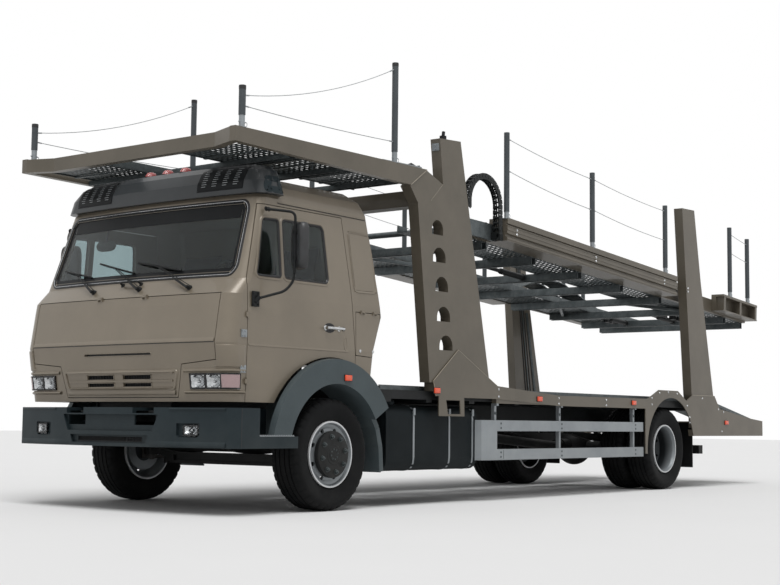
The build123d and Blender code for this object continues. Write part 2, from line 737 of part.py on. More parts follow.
def bumper_core(inset):
    # The bumper's bowed front, set back by an inset
    with BuildPart() as core:
        with BuildSketch(Plane.XY.offset(bumper_bottom - 5)) as plan:
            with BuildLine():
                ThreePointArc((station(1180 - inset), half - 60), (station(bumper_reach - inset), 0),
                              (station(1180 - inset), 60 - half))
                Polyline((station(1180 - inset), 60 - half), (station(1000), 60 - half),
                         (station(1000), half - 60), (station(1180 - inset), half - 60))
            make_face()
        extrude(plan.sketch, amount=bumper_top - bumper_bottom + 10)
    return core.part


with BuildPart() as bumper_recesses:
    for outline in (plate_bay, air_bay, both_ways(fog_bay, 1), both_ways(fog_bay, -1)):
        front_prism(outline, 0, 1100, 300)
    add(bumper_core(bumper_recess), mode=Mode.SUBTRACT)
with BuildPart() as front_bumper:
    with BuildSketch(Plane.XY.offset(bumper_bottom)) as plan:
        with BuildLine():
            ThreePointArc((station(1180), half - 60), (station(bumper_reach), 0), (station(1180), 60 - half))
            Polyline((station(1180), half - 60), (station(1100), half), (station(470), half),
                     (station(470), step_inner), (station(1032), step_inner), (station(1032), -step_inner),
                     (station(470), -step_inner), (station(470), -half), (station(1100), -half),
                     (station(1180), 60 - half))
        make_face()
    extrude(plan.sketch, amount=bumper_top - bumper_bottom)
    block((400, 1032), (-half - 50, half + 50), (step_top, bumper_top + 5), mode=Mode.SUBTRACT)
    for side in (1, -1):
        block((900, 1032), on_side(side, step_inner, half), (step_top, bumper_top))
        block((600, 900), on_side(side, step_inner, step_inner + 20), (step_top, bumper_top))
        block((520, 890), on_side(side, half - 190, half - 25), (step_top - 15, step_top + 5),
              mode=Mode.SUBTRACT)
    add(bumper_recesses.part, mode=Mode.SUBTRACT)
    # Hollow behind its skin, open at the back and along the top's middle
    with BuildSketch(Plane.XY.offset(bumper_bottom + 30)) as hollow:
        with BuildLine():
            ThreePointArc((station(1140), half - 100), (station(bumper_reach - bumper_skin), 0),
                          (station(1140), 100 - half))
            Polyline((station(1140), 100 - half), (station(1000), 100 - half), (station(1000), half - 100),
                     (station(1140), half - 100))
        make_face()
    extrude(hollow.sketch, amount=bumper_top - bumper_bottom - 55, mode=Mode.SUBTRACT)
    block((1200, 1400), (-370, 370), (536, 574), mode=Mode.SUBTRACT)
    for side in (1, -1):
        with Locations((front_axle_x, side * kingpin_y, bumper_top)):
            Cylinder(tyre_sweep, bumper_top, mode=Mode.SUBTRACT)
        block((1090, 1190), on_side(side, 320, 470), (bumper_bottom - 5, 600), mode=Mode.SUBTRACT)
        block((1032, 1245), on_side(side, 600, 640), (bumper_bottom + 10, bumper_top - 10))
        block((1032, 1150), on_side(side, step_inner, half - 100),
              (bumper_bottom + 10, bumper_top - 10))
        window = on_side(side, 285, 505)
        block((1000, 1400), window, (665, 742), mode=Mode.SUBTRACT)
        block((1000, 1400), window, (755, bumper_top + 5), mode=Mode.SUBTRACT)
save(front_bumper.part, "front_bumper")

# Headlamp units wrapped round the cab's corners, and fog lamps in the bumper's recesses

with BuildPart() as headlamps:
    for side in (1, -1):
        block((lamp_rear, 1300), on_side(side, lamp_inner, half), (lamp_low, lamp_high))
    add(lamp_front, mode=Mode.INTERSECT)
    add(lamp_back, mode=Mode.SUBTRACT)
    with BuildPart(mode=Mode.ADD):
        for side in (1, -1):
            front_prism(both_ways(fog_lamp, side), 0, 1100, 300)
        add(bumper_core(4), mode=Mode.INTERSECT)
        add(bumper_core(bumper_recess), mode=Mode.SUBTRACT)
save(headlamps.part, "headlamps")

# Front wheel arches: a flat band outside, a liner over the tyre and a flap behind

with BuildPart() as wheel_arches:
    for side in (1, -1):
        y_out = side * (body_half_width - 2)
        # Each point: how far in from the outer face, and the radius about the axle
        section = [(0, arch_inner), (0, arch_outer - 4), (30, arch_outer), (58, arch_outer),
                   (58, arch_outer - 12), (30, arch_outer - 12), (14, arch_outer - 20), (14, arch_inner + 14), (368, arch_inner + 14),
                   (368, arch_inner)]
        band = [(y_out - side * inward, radius) for inward, radius in section]
        above_axle = Plane(origin=(front_axle_x, 0, wheel_z), x_dir=(0, 1, 0), z_dir=(0, 0, -1))
        with BuildSketch(above_axle) as band_face:
            with BuildLine():
                Polyline(*band, close=True)
            make_face()
        revolve(band_face.sketch, axis=Axis((front_axle_x, 0, wheel_z), (0, 1, 0)), revolution_arc=-150)
    block((0, 1000), (-body_half_width, body_half_width), (0, bumper_bottom + 91), mode=Mode.SUBTRACT)
save(wheel_arches.part, "wheel_arches")

# Fuel tank on the left, battery box and air tanks on the right

tank_inner_y = rail_outer_y + 65
tank_outer_y = body_half_width - 100
tank_middle_y = (tank_inner_y + tank_outer_y) / 2
with BuildPart() as fuel_tank:
    with BuildSketch(Plane.YZ.offset(station(-2080))) as tank_face:
        with Locations((tank_middle_y, 575)):
            RectangleRounded(tank_outer_y - tank_inner_y, 560, 90)
    extrude(tank_face.sketch, amount=1330)
    for ahead in (-860, -1400, -1960):
        block((ahead - 30, ahead + 30), (rail_outer_y, tank_inner_y + 5),
              (rail_top - rail_height + 10, rail_top - 30))
save(fuel_tank.part, "fuel_tank")

with BuildPart() as battery_box:
    block((-1500, -800), (30 - tank_outer_y, -tank_inner_y), (420, 840))
    for ahead in (-900, -1400):
        block((ahead - 30, ahead + 30), (-tank_inner_y - 5, -rail_outer_y), (690, 850))
    rod((station(-1620), -tank_middle_y, 640), (station(-2420), -tank_middle_y, 640), 135)
    for ahead in (-1760, -2280):
        block((ahead - 30, ahead + 30), (-tank_middle_y, -rail_outer_y), (690, 790))
    block((-1640, -1480), (-tank_middle_y - 50, 50 - tank_middle_y), (600, 680))
save(battery_box.part, "battery_box")

# Platform: outriggers on the rails carry the side members, and the painted sides stand on those

sill_outer = body_half_width
sill_inner = sill_outer - sill_depth
member_inner = sill_inner - 70
member_bottom = 905
with BuildPart() as platform_frame:
    for ahead in (-720, -1300, -1950, -2700, -3500, -4300, -5050, -6300, -6950):
        block((ahead - 40, ahead + 40), (-sill_inner, sill_inner), (rail_top, platform_top))
    for side in (1, -1):
        across = on_side(side, member_inner, sill_inner)
        block((-6990, -420), across, (member_bottom, platform_top))
save(platform_frame.part, "platform_frame")

gusset_peak = -1652
with BuildPart() as platform_sides:
    arch_top = 1091
    arch_radius = 562
    sill = [(-2270, 930), (-2270, 1050), (-3363, 984), (-5208, 990), (-5464, arch_top), (-5921, arch_top),
            (-6130, 982), (-6283, 1052), (-6857, 1052), (-6990, 904), (-7850, 800), (-tail_reach, 770),
            (-tail_reach, tail_bottom), (-6148, tail_bottom), (-6148, 640), (-5700, 640), (-5700, 400),
            (-5150, 400), (-5150, 883), (-3363, 883)]
    side_plate(sill, sill_outer, plate)
    for ahead, low, high in ((-2300, 940, 1040), (-3363, 890, 970), (-4300, 890, 970), (-5080, 890, 970)):
        block((ahead - 40, ahead + 40), (sill_inner, sill_outer - plate), (low, high))
    block((-5150, -2275), (sill_inner, sill_outer - plate), (890, 930))
    block((-tail_reach, -6190), (sill_inner, sill_outer - plate), (tail_bottom, 660))
    with Locations((rear_axle_x, sill_outer, wheel_z)):
        Cylinder(arch_radius, 4 * sill_depth, rotation=(90, 0, 0), mode=Mode.SUBTRACT)
    gusset = [(-1318, 938), (-1280, 1067), (gusset_peak, 1352), (-2275, 1050), (-2275, 930), (-1745, 930),
              (-1751, 765), (-1364, 765), (-1362, 938)]
    side_plate(gusset, sill_outer, plate)
    side_plate([(-1498, 784), (-1470, 905), (-1680, 905), (-1690, 784)], sill_outer, plate, mode=Mode.SUBTRACT)
    mirror(about=Plane.XZ)
    block((-tail_reach + 20, -tail_reach + 100), (-sill_inner - 5, sill_inner + 5), (tail_bottom + 10, 760))
save(platform_sides.part, "platform_sides")

with BuildPart() as platform_runways:
    for side in (1, -1):
        across = on_side(side, 400, member_inner - 5)
        block((-6990, -700), across, (platform_top, runway_top - 12))
        for rim in (400, member_inner - 20):
            edge = on_side(side, rim, rim + 15)
            block((-6990, -700), edge, (platform_top, runway_top))
        with BuildSketch(side_plane(max(across))) as slope:
            with BuildLine():
                Polyline(*from_front_axle([(-6990, platform_top), (-6990, runway_top - 12),
                                           (40 - tail_reach, 800), (40 - tail_reach, 765)]), close=True)
            make_face()
        extrude(slope.sketch, amount=max(across) - min(across))
save(platform_runways.part, "platform_runways")

# Posts: leaning boxes, the front pair with arched holes and joined by a cross beam under the over-cab deck

post_lean_top = (-1680, 3235)
post_lean_foot = (-2165, 1055)
front_post_outline = [(-1236, 1055), (-1046, 2600), (-930, 2737), (-1159, 2903), (-1414, 2806), (-1363, 3215),
                      post_lean_top, post_lean_foot]
hole_rows = [(-1337, 2350, 165), (-1367, 2110, 187), (-1407, 1855, 188), (-1437, 1593, 195), (-1477, 1342, 196)]
hole_height = 130
lean = atan2(post_lean_top[0] - post_lean_foot[0], post_lean_top[1] - post_lean_foot[1])
with BuildPart() as front_posts:
    side_plate(front_post_outline, post_outer_y, post_depth)
    for middle, sill_height, width in hole_rows:
        with BuildSketch(side_plane(post_outer_y)) as hole:
            with BuildLine():
                left = (station(middle - width / 2), sill_height)
                right = (station(middle + width / 2), sill_height)
                left_spring = (left[0], sill_height + 40)
                right_spring = (right[0], sill_height + 40)
                Line(left, right)
                Line(right, right_spring)
                ThreePointArc(right_spring, (station(middle), sill_height + hole_height), left_spring)
                Line(left_spring, left)
            make_face()
        extrude(hole.sketch, amount=post_depth, mode=Mode.SUBTRACT)
    block((-2120, -1300), (post_inner_y, post_outer_y), (platform_top, 1060))
    # Guide bar on the inner face, parallel to the rear edge
    guide_foot = (-2165 + 150, 1300)
    reach = 1780
    guide = [(guide_foot[0] - guide_width / 2, guide_foot[1]), (guide_foot[0] + guide_width / 2, guide_foot[1]),
             (guide_foot[0] + guide_width / 2 + reach * tan(lean), guide_foot[1] + reach),
             (guide_foot[0] - guide_width / 2 + reach * tan(lean), guide_foot[1] + reach)]
    side_plate(guide, post_inner_y, guide_depth)
    mirror(about=Plane.XZ)
    block((-1330, -1180), (-post_inner_y, post_inner_y), (2600, 2740))
save(front_posts.part, "front_posts")

rear_post_outline = [(-6300, 985), (-6283, 1054), (-6081, 3183), (-6388, 3192), (-6542, 2371), (-6857, 1008),
                     (-6862, 985)]
with BuildPart() as rear_posts:
    side_plate(rear_post_outline, post_outer_y, post_depth)
    block((-6850, -6300), (sill_inner, post_outer_y), (platform_top - 300, 990))
    mirror(about=Plane.XZ)
save(rear_posts.part, "rear_posts")

# Over-cab deck: a painted rim open at the back, with a runway along each side

cab_deck_bottom = 2772
cab_deck_top = 2887
cab_deck_nose = 1225
cab_deck_seam = [(-1158, 2903), (-929, 2738)]


def rim_height(ahead):
    share = (cab_deck_nose - ahead) / (cab_deck_nose - cab_deck_seam[0][0])
    return cab_deck_top + share * (cab_deck_seam[0][1] - cab_deck_top)


with BuildPart() as cab_deck_frame:
    beam = [(cab_deck_nose, cab_deck_bottom), (cab_deck_nose, cab_deck_top)] + cab_deck_seam
    side_plate(beam, body_half_width, cab_deck_rim)
    mirror(about=Plane.XZ)
    with BuildSketch(Plane.XY.offset(cab_deck_bottom)) as nose:
        with BuildLine():
            Polyline((station(1225), half - 60), (station(1135), half - 305), (station(1135), 305 - half),
                     (station(1225), 60 - half), (station(1225), 10 - half), (station(1150), 60 - half),
                     (station(1065), 285 - half), (station(1065), half - 285), (station(1150), half - 60),
                     (station(1225), half - 10), close=True)
        make_face()
    extrude(nose.sketch, amount=cab_deck_top - cab_deck_bottom - 4)
save(cab_deck_frame.part, "cab_deck_frame")

with BuildPart() as cab_deck_runways:
    low = cab_deck_bottom + 22
    for side in (1, -1):
        across = on_side(side, runway_inner_y, post_inner_y - 5)
        block((-1150, 1000), across, (low, low + 12))
        edge = on_side(side, runway_inner_y, runway_inner_y + 12)
        block((-1150, 1000), edge, (low, low + 70))
    for ahead in (-860, -170, 520):
        block((ahead - 35, ahead + 35), (-(body_half_width - cab_deck_rim), body_half_width - cab_deck_rim),
              (low - 45, low))
save(cab_deck_runways.part, "cab_deck_runways")

rail_radius = 21
sleeve_radius = 27
with BuildPart() as cab_deck_rails:
    for side in (1, -1):
        for ahead, top in ((1128, 3208), (-735, 3765)):
            y = side * (half - 30)
            foot = rim_height(ahead - rail_radius) + seat_gap
            rod((station(ahead), y, foot), (station(ahead), y, top), rail_radius)
            rod((station(ahead), y, foot + 95), (station(ahead), y, top), sleeve_radius)
save(cab_deck_rails.part, "cab_deck_rails")

# Lift carriage: a shoe on each post's guide bar and a cross tube that the main deck hinges on

shoe_length = 420
slope = tan(lean)
with BuildPart() as lift_carriage:
    guide_centre = guide_foot[0] + (pivot_z - guide_foot[1]) * slope
    half_shoe = shoe_length / 2
    shoe_outer = post_inner_y - 8
    shoe_inner = shoe_outer - guide_depth - 22
    shoe = [(guide_centre - 75 - half_shoe * slope, pivot_z - half_shoe),
            (guide_centre + 75 - half_shoe * slope, pivot_z - half_shoe),
            (guide_centre + 75 + half_shoe * slope, pivot_z + half_shoe),
            (guide_centre - 75 + half_shoe * slope, pivot_z + half_shoe)]
    groove_half = guide_width / 2 + shoe_gap
    groove = [(guide_centre - groove_half - half_shoe * slope, pivot_z - half_shoe),
              (guide_centre + groove_half - half_shoe * slope, pivot_z - half_shoe),
              (guide_centre + groove_half + half_shoe * slope, pivot_z + half_shoe),
              (guide_centre - groove_half + half_shoe * slope, pivot_z + half_shoe)]
    side_plate(shoe, shoe_outer, shoe_outer - shoe_inner)
    side_plate(groove, post_inner_y, guide_depth + shoe_gap, mode=Mode.SUBTRACT)
    arm = [(guide_centre - 60, pivot_z - 50), (guide_centre - 60, pivot_z + 90), (-2400, pivot_z + 70),
           (-2400, pivot_z - 85)]
    side_plate(arm, shoe_outer, 30)
    mirror(about=Plane.XZ)
    rod((station(pivot_station), -shoe_outer + 30, pivot_z), (station(pivot_station), shoe_outer - 30, pivot_z),
        pivot_tube_radius)
save(lift_carriage.part, "lift_carriage")

# Energy chain: a flat band bent over in a loop from the carriage's arm to the post's head

chain_rear = -2368
chain_front = -1858
chain_thick = 62
chain_top = 3014
chain_radius = (chain_front - chain_rear) / 2
chain_outer_y = body_half_width - 25
with BuildPart() as energy_chain:
    with BuildSketch(side_plane(chain_outer_y)) as loop_face:
        crown = chain_top - chain_radius - chain_thick / 2
        middle = station((chain_front + chain_rear) / 2)
        with BuildLine():
            big = chain_radius + chain_thick / 2
            small = chain_radius - chain_thick / 2
            ThreePointArc((middle - big, crown), (middle, crown + big), (middle + big, crown))
            Polyline((middle + big, crown), (middle + big, 2650), (middle + small, 2650),
                     (middle + small, crown))
            ThreePointArc((middle + small, crown), (middle, crown + small), (middle - small, crown))
            Polyline((middle - small, crown), (middle - small, pivot_z - 80), (middle - big, pivot_z - 80),
                     (middle - big, crown))
        make_face()
    extrude(loop_face.sketch, amount=80)
    block((chain_rear - 31, chain_rear + 31), (shoe_outer, chain_outer_y - 40), (pivot_z - 78, pivot_z - 10))
save(energy_chain.part, "energy_chain")

# Main deck, drawn level in its own plane and tilted about the pivot

tilt = radians(deck_tilt)


def deck_plane(y):
    return Plane(origin=(station(pivot_station), y, pivot_z), x_dir=(cos(tilt), 0, sin(tilt)), z_dir=(0, -1, 0))


def deck_block(along, across, height, mode=Mode.ADD):
    with BuildSketch(deck_plane(max(across))) as face:
        with Locations(((along[0] + along[1]) / 2, (height[0] + height[1]) / 2)):
            Rectangle(along[1] - along[0], height[1] - height[0])
    extrude(face.sketch, amount=max(across) - min(across), mode=mode)


def deck_plate(outline, y_outer, thickness, mode=Mode.ADD):
    with BuildSketch(deck_plane(y_outer)) as face:
        with BuildLine():
            Polyline(*outline, close=True)
        make_face()
    extrude(face.sketch, amount=thickness, mode=mode)


deck_end = -6225
beam_low = -51
beam_high = 168
member_low = -50
member_high = 110
member_outer_y = side_member_y + side_member_width
with BuildPart() as deck_beams:
    deck_block((deck_end, -90), (side_member_y, member_outer_y), (member_low, member_high))
    lug = [(-90, member_low), (-90, member_high), (60, 60), (60, -60), (0, -62)]
    deck_plate(lug, member_outer_y, side_member_width)
    with BuildSketch(deck_plane(member_outer_y)) as bore:
        Circle(pivot_tube_radius + running_gap)
    extrude(bore.sketch, amount=side_member_width, mode=Mode.SUBTRACT)
    profile = [(member_outer_y, beam_low), (body_half_width, beam_low), (body_half_width, beam_low + 35),
               (body_half_width - 22, beam_low + 45), (body_half_width - 22, beam_low + 62),
               (body_half_width, beam_low + 72), (body_half_width, beam_low + 145),
               (body_half_width - 18, beam_low + 150), (body_half_width - 18, beam_low + 160),
               (body_half_width, beam_low + 164), (body_half_width, beam_high), (member_outer_y, beam_high)]
    beam_start = Vector(station(pivot_station), 0, pivot_z) + Vector(cos(tilt), 0, sin(tilt)) * -433
    beam_front = Plane(origin=beam_start, x_dir=(0, 1, 0), z_dir=(cos(tilt), 0, sin(tilt)))
    with BuildSketch(beam_front) as section:
        with BuildLine():
            Polyline(*profile, close=True)
        make_face()
    extrude(section.sketch, amount=-(3935 - 433))
    deck_block((deck_end, -5250), (member_outer_y, half - 50), (140, beam_high))
    deck_block((deck_end, -5250), (member_outer_y, half - 50), (-30, -18))
    deck_block((deck_end, -5250), (member_outer_y, member_outer_y + 60), (-20, 145))
    for along in (-5300, -5750, -6200):
        deck_block((along - 25, along + 25), (member_outer_y, half - 55), (-20, 145))
    mirror(about=Plane.XZ)
save(deck_beams.part, "deck_beams")

runway_front = 200
pivot_room = 60
with BuildPart() as deck_runways:
    for side in (1, -1):
        across = on_side(side, runway_inner_y, side_member_y)
        deck_block((deck_end, runway_front), across, (runway_level - runway_wall, runway_level))
        edge = on_side(side, runway_inner_y, runway_inner_y + 12)
        for along in ((deck_end, -pivot_room), (pivot_room, runway_front)):
            deck_block(along, edge, (runway_level, runway_level + 70))
        hump = [(-3100, runway_level), (-3650, 170), (-4150, 235), (-4450, 180), (-5450, runway_level)]
        under = [(-5390, runway_level), (-4440, 165), (-4150, 219), (-3660, 155), (-3160, runway_level)]
        deck_plate(hump + under, max(across), max(across) - min(across))
    for along in (-420, -1300, -2200, -3100, -4000, -4900, -5700, -6180):
        deck_block((along - 40, along + 40), (-side_member_y, side_member_y),
                   (runway_level - runway_wall - 75, runway_level - runway_wall))
save(deck_runways.part, "deck_runways")

with BuildPart() as deck_rails:
    for y, along, reach in ((half - 30, -455, 817), (half - 30, -2065, 782), (half - 30, -3690, 762),
                            (half - 75, -5480, 850), (half - 75, -5990, 800)):
        for side in (1, -1):
            foot = deck_plane(side * y).from_local_coords(Vector(along, beam_high, 0))
            rod((foot.X, side * y, foot.Z - 20), (foot.X, side * y, foot.Z + reach), rail_radius)
            rod((foot.X, side * y, foot.Z + 60), (foot.X, side * y, foot.Z + reach), sleeve_radius)
    deck_block((deck_end, 0), (-body_half_width, body_half_width), (beam_low, beam_high + seat_gap),
               mode=Mode.SUBTRACT)
save(deck_rails.part, "deck_rails")

# Side guards: two rails on uprights hung from the sill

guard_outer = half - 13
guard_inner = guard_outer - 25
guard_low = 371
guard_high = 736
with BuildPart() as side_guards:
    for low in (guard_low, guard_high - 100):
        block((-5120, -2285), (guard_inner, guard_outer), (low, low + 100))
    for ahead in (-2300, -3440, -4950):
        block((ahead - 16, ahead + 16), (guard_inner - 36, guard_inner), (guard_low, 890))
        block((ahead - 16, ahead + 16), (guard_inner - 36, guard_outer + 1), (868, 890))
    # End panel: a thin plate bent inwards in front of the rails
    bend = [(0, 0), (160, 0), (225, 22), (250, 78), (240, 81), (217, 30), (157, 10), (0, 10)]
    with BuildSketch(Plane.XY.offset(guard_low)) as end_face:
        with BuildLine():
            Polyline(*[(station(-2295 + ahead), guard_outer - inward) for ahead, inward in bend], close=True)
        make_face()
    extrude(end_face.sketch, amount=guard_high - guard_low)
    mirror(about=Plane.XZ)
save(side_guards.part, "side_guards")

with BuildPart() as mud_flaps:
    for side in (1, -1):
        across = on_side(side, half - 660, half - 70)
        block((-6420, -6400), across, (230, 690))
        block((-6440, -6400), on_side(side, rail_outer_y, half - 70), (690, 740))
save(mud_flaps.part, "mud_flaps")

with BuildPart() as rear_lamps:
    for side in (1, -1):
        block((4 - tail_reach, 20 - tail_reach), on_side(side, half - 490, half - 130), (620, 740))
save(rear_lamps.part, "rear_lamps")
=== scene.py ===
import bpy
import bmesh
import json
from math import cos, hypot, pi, radians, sin
from mathutils import Matrix, Vector
from mathutils.bvhtree import BVHTree


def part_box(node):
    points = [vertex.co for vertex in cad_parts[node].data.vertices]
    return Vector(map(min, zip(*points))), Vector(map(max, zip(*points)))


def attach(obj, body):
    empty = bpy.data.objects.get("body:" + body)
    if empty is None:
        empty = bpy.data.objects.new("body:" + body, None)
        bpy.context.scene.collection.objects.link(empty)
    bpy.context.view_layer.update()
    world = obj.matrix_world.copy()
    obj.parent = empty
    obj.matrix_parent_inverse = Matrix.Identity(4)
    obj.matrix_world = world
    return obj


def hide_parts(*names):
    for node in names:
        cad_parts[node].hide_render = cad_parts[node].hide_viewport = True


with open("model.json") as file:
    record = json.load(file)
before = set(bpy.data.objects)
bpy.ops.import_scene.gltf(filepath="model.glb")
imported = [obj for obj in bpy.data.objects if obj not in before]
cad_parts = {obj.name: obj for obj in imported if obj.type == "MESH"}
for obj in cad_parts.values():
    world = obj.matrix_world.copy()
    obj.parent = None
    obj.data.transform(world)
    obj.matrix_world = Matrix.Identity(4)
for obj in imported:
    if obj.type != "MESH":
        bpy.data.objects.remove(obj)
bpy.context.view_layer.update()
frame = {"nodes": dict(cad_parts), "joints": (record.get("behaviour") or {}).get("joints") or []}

nodes = frame["nodes"]
joints = {joint["name"]: joint for joint in frame["joints"]}
print("frame loaded:", len(nodes), "nodes")

# Metres. +X is forward, +Y the driver's left, +Z up. "ahead" counts forward from the front axle.
frontAxleX = joints["front_left_spin"]["pos_m"][0]
rearAxleX = joints["rear_left_spin"]["pos_m"][0]
wheelHeight = joints["front_left_spin"]["pos_m"][2]


def spot(ahead, y, z):
    return Vector((frontAxleX + ahead, y, z))


# Camera: fitted to the photograph, which is 780 by 585

cameraFit = {"ahead": 8.7177, "y": 8.57, "z": 0.7051, "yaw": 37.992, "pitch": 5.2006, "roll": 0.6129,
             "focalPixels": 1427.46, "pictureWidth": 780, "sensor": 36}


def makeCamera(fit):
    yaw, pitch, roll = (radians(fit[turn]) for turn in ("yaw", "pitch", "roll"))
    look = Vector((-cos(yaw) * cos(pitch), -sin(yaw) * cos(pitch), sin(pitch)))
    right = look.cross(Vector((0, 0, 1))).normalized()
    up = right.cross(look)
    rightRolled = cos(roll) * right + sin(roll) * up
    upRolled = cos(roll) * up - sin(roll) * right
    lens = bpy.data.cameras.new("transporterCamera")
    lens.sensor_width = fit["sensor"]
    lens.lens = fit["focalPixels"] * fit["sensor"] / fit["pictureWidth"]
    lens.clip_end = 300
    camera = bpy.data.objects.new("transporterCamera", lens)
    bpy.context.scene.collection.objects.link(camera)
    turn = Matrix((rightRolled, upRolled, -look)).transposed().to_4x4()
    camera.matrix_world = Matrix.Translation(spot(fit["ahead"], fit["y"], fit["z"])) @ turn
    bpy.context.scene.camera = camera


makeCamera(cameraFit)
print("camera set")

# Finishes: two tones in patches, a finer grain for gloss and relief, and road dust

dustTone = (0.16, 0.145, 0.12)
plainFinish = {"metal": 0.0, "coat": 0.0, "shine": 0.5, "dust": 0.0}  # where a finish doesn't say
finishes = {
    "bronzePaint": {"tone": (0.206, 0.174, 0.131), "shade": (0.18, 0.152, 0.114), "patch": 1.6, "grain": 900,
                    "gloss": (0.33, 0.45), "metal": 0.25, "relief": 0.02, "coat": 0.25, "dust": 0.25},
    "deckPaint": {"tone": (0.12, 0.103, 0.078), "shade": (0.096, 0.083, 0.062), "patch": 2.6, "grain": 420,
                  "gloss": (0.38, 0.55), "metal": 0.2, "relief": 0.05, "coat": 0.15, "dust": 0.35},
    "darkPlastic": {"tone": (0.019, 0.029, 0.034), "shade": (0.014, 0.022, 0.026), "patch": 3, "grain": 1400,
                    "gloss": (0.42, 0.58), "relief": 0.10, "shine": 0.18, "dust": 0.3},
    "visorGloss": {"tone": (0.03, 0.034, 0.037), "shade": (0.024, 0.028, 0.031), "patch": 4, "grain": 500,
                   "gloss": (0.3, 0.42), "relief": 0.01, "coat": 0.1, "shine": 0.35, "dust": 0.1},
    "blackPaint": {"tone": (0.012, 0.013, 0.014), "shade": (0.007, 0.008, 0.008), "patch": 3.5, "grain": 350,
                   "gloss": (0.40, 0.65), "relief": 0.12, "shine": 0.2, "dust": 0.2},
    "zinc": {"tone": (0.145, 0.163, 0.167), "shade": (0.08, 0.093, 0.097), "patch": 9, "grain": 60,
             "gloss": (0.34, 0.60), "metal": 0.75, "relief": 0.05, "dust": 0.15, "spangle": 55},
    "castIron": {"tone": (0.060, 0.058, 0.055), "shade": (0.030, 0.028, 0.026), "patch": 6, "grain": 500,
                 "gloss": (0.55, 0.8), "metal": 0.3, "relief": 0.3, "dust": 0.6},
    "rubber": {"tone": (0.009, 0.0094, 0.01), "shade": (0.0062, 0.0066, 0.007), "patch": 5, "grain": 260,
               "gloss": (0.62, 0.85), "relief": 0.12, "shine": 0.12, "dust": 0.05},
    "seal": {"tone": (0.012, 0.012, 0.013), "shade": (0.008, 0.008, 0.009), "patch": 8, "grain": 700,
             "gloss": (0.45, 0.62), "relief": 0.05},
    "seatCloth": {"tone": (0.055, 0.057, 0.062), "shade": (0.030, 0.031, 0.035), "patch": 14, "grain": 1100,
                  "gloss": (0.8, 0.95), "relief": 0.5},
    "dashTrim": {"tone": (0.030, 0.031, 0.032), "shade": (0.022, 0.023, 0.024), "patch": 5, "grain": 1500,
                 "gloss": (0.55, 0.7), "relief": 0.2},
    "tankPaint": {"tone": (0.01, 0.014, 0.016), "shade": (0.007, 0.01, 0.0115), "patch": 2.2, "grain": 600,
                  "gloss": (0.5, 0.65), "metal": 0.1, "relief": 0.03, "shine": 0.1, "dust": 0.08},
    "chainPlastic": {"tone": (0.012, 0.014, 0.014), "shade": (0.008, 0.009, 0.009), "patch": 20, "grain": 800,
                     "gloss": (0.4, 0.55), "relief": 0.1, "shine": 0.25, "dust": 0.1},
    "brightSteel": {"tone": (0.62, 0.63, 0.64), "shade": (0.42, 0.43, 0.44), "patch": 12, "grain": 300,
                    "gloss": (0.18, 0.34), "metal": 1.0, "relief": 0.02},
    "guardAlloy": {"tone": (0.3, 0.325, 0.34), "shade": (0.24, 0.26, 0.275), "patch": 3, "grain": 240,
                   "gloss": (0.42, 0.6), "metal": 0.45, "relief": 0.03, "dust": 0.3},
    "glossBlack": {"tone": (0.008, 0.009, 0.01), "shade": (0.006, 0.007, 0.008), "patch": 5, "grain": 300,
                   "gloss": (0.32, 0.42), "relief": 0.01, "shine": 0.12},
    "lampChrome": {"tone": (0.6, 0.61, 0.62), "shade": (0.44, 0.45, 0.46), "patch": 30, "grain": 200,
                   "gloss": (0.06, 0.14), "metal": 1.0, "relief": 0.02},
    "mirrorGlass": {"tone": (0.82, 0.84, 0.85), "shade": (0.72, 0.74, 0.75), "patch": 4, "grain": 200,
                    "gloss": (0.03, 0.07), "metal": 1.0, "relief": 0.0},
    "slotGrey": {"tone": (0.30, 0.32, 0.33), "shade": (0.18, 0.19, 0.20), "patch": 30, "grain": 300,
                 "gloss": (0.4, 0.6), "relief": 0.02},
    "zincDark": {"tone": (0.082, 0.095, 0.098), "shade": (0.043, 0.053, 0.055), "patch": 9, "grain": 60,
                 "gloss": (0.38, 0.62), "metal": 0.6, "relief": 0.05, "dust": 0.15, "spangle": 55},
    "wireSteel": {"tone": (0.42, 0.44, 0.45), "shade": (0.28, 0.3, 0.31), "patch": 40, "grain": 700,
                  "gloss": (0.4, 0.6), "metal": 0.3, "relief": 0.3},
    # Paler than the deck paint: the beads' own paint lightened as a painted highlight on the edges
    "weldPaintWithHighlight": {"tone": (0.30, 0.26, 0.20), "shade": (0.22, 0.19, 0.145), "patch": 30, "grain": 200,
                  "gloss": (0.3, 0.5), "metal": 0.2, "relief": 0.3, "coat": 0.2, "dust": 0.1},
    "lampBody": {"tone": (0.030, 0.031, 0.033), "shade": (0.020, 0.021, 0.022), "patch": 12, "grain": 900,
                 "gloss": (0.35, 0.5), "relief": 0.06},
    "archPlastic": {"tone": (0.066, 0.085, 0.092), "shade": (0.052, 0.068, 0.074), "patch": 3, "grain": 1400,
                    "gloss": (0.5, 0.65), "relief": 0.10, "shine": 0.3, "dust": 0.3},
    "railPaint": {"tone": (0.060, 0.070, 0.076), "shade": (0.044, 0.052, 0.058), "patch": 6, "grain": 300,
                  "gloss": (0.4, 0.58), "metal": 0.2, "relief": 0.05, "dust": 0.1},
}


def wire(tree, source, target):
    tree.links.new(source, target)


def newNode(tree, kind, **values):
    node = tree.nodes.new(kind)
    for name, value in values.items():
        if hasattr(node, name):
            setattr(node, name, value)
        else:
            node.inputs[name.replace("_", " ")].default_value = value
    return node


def mixTone(tree, factor, first, second):
    mix = newNode(tree, "ShaderNodeMix", data_type="RGBA")
    wire(tree, factor, mix.inputs[0])
    for socket, value in ((mix.inputs[6], first), (mix.inputs[7], second)):
        if isinstance(value, tuple):
            socket.default_value = (*value, 1)
        else:
            wire(tree, value, socket)
    return mix.outputs[2]


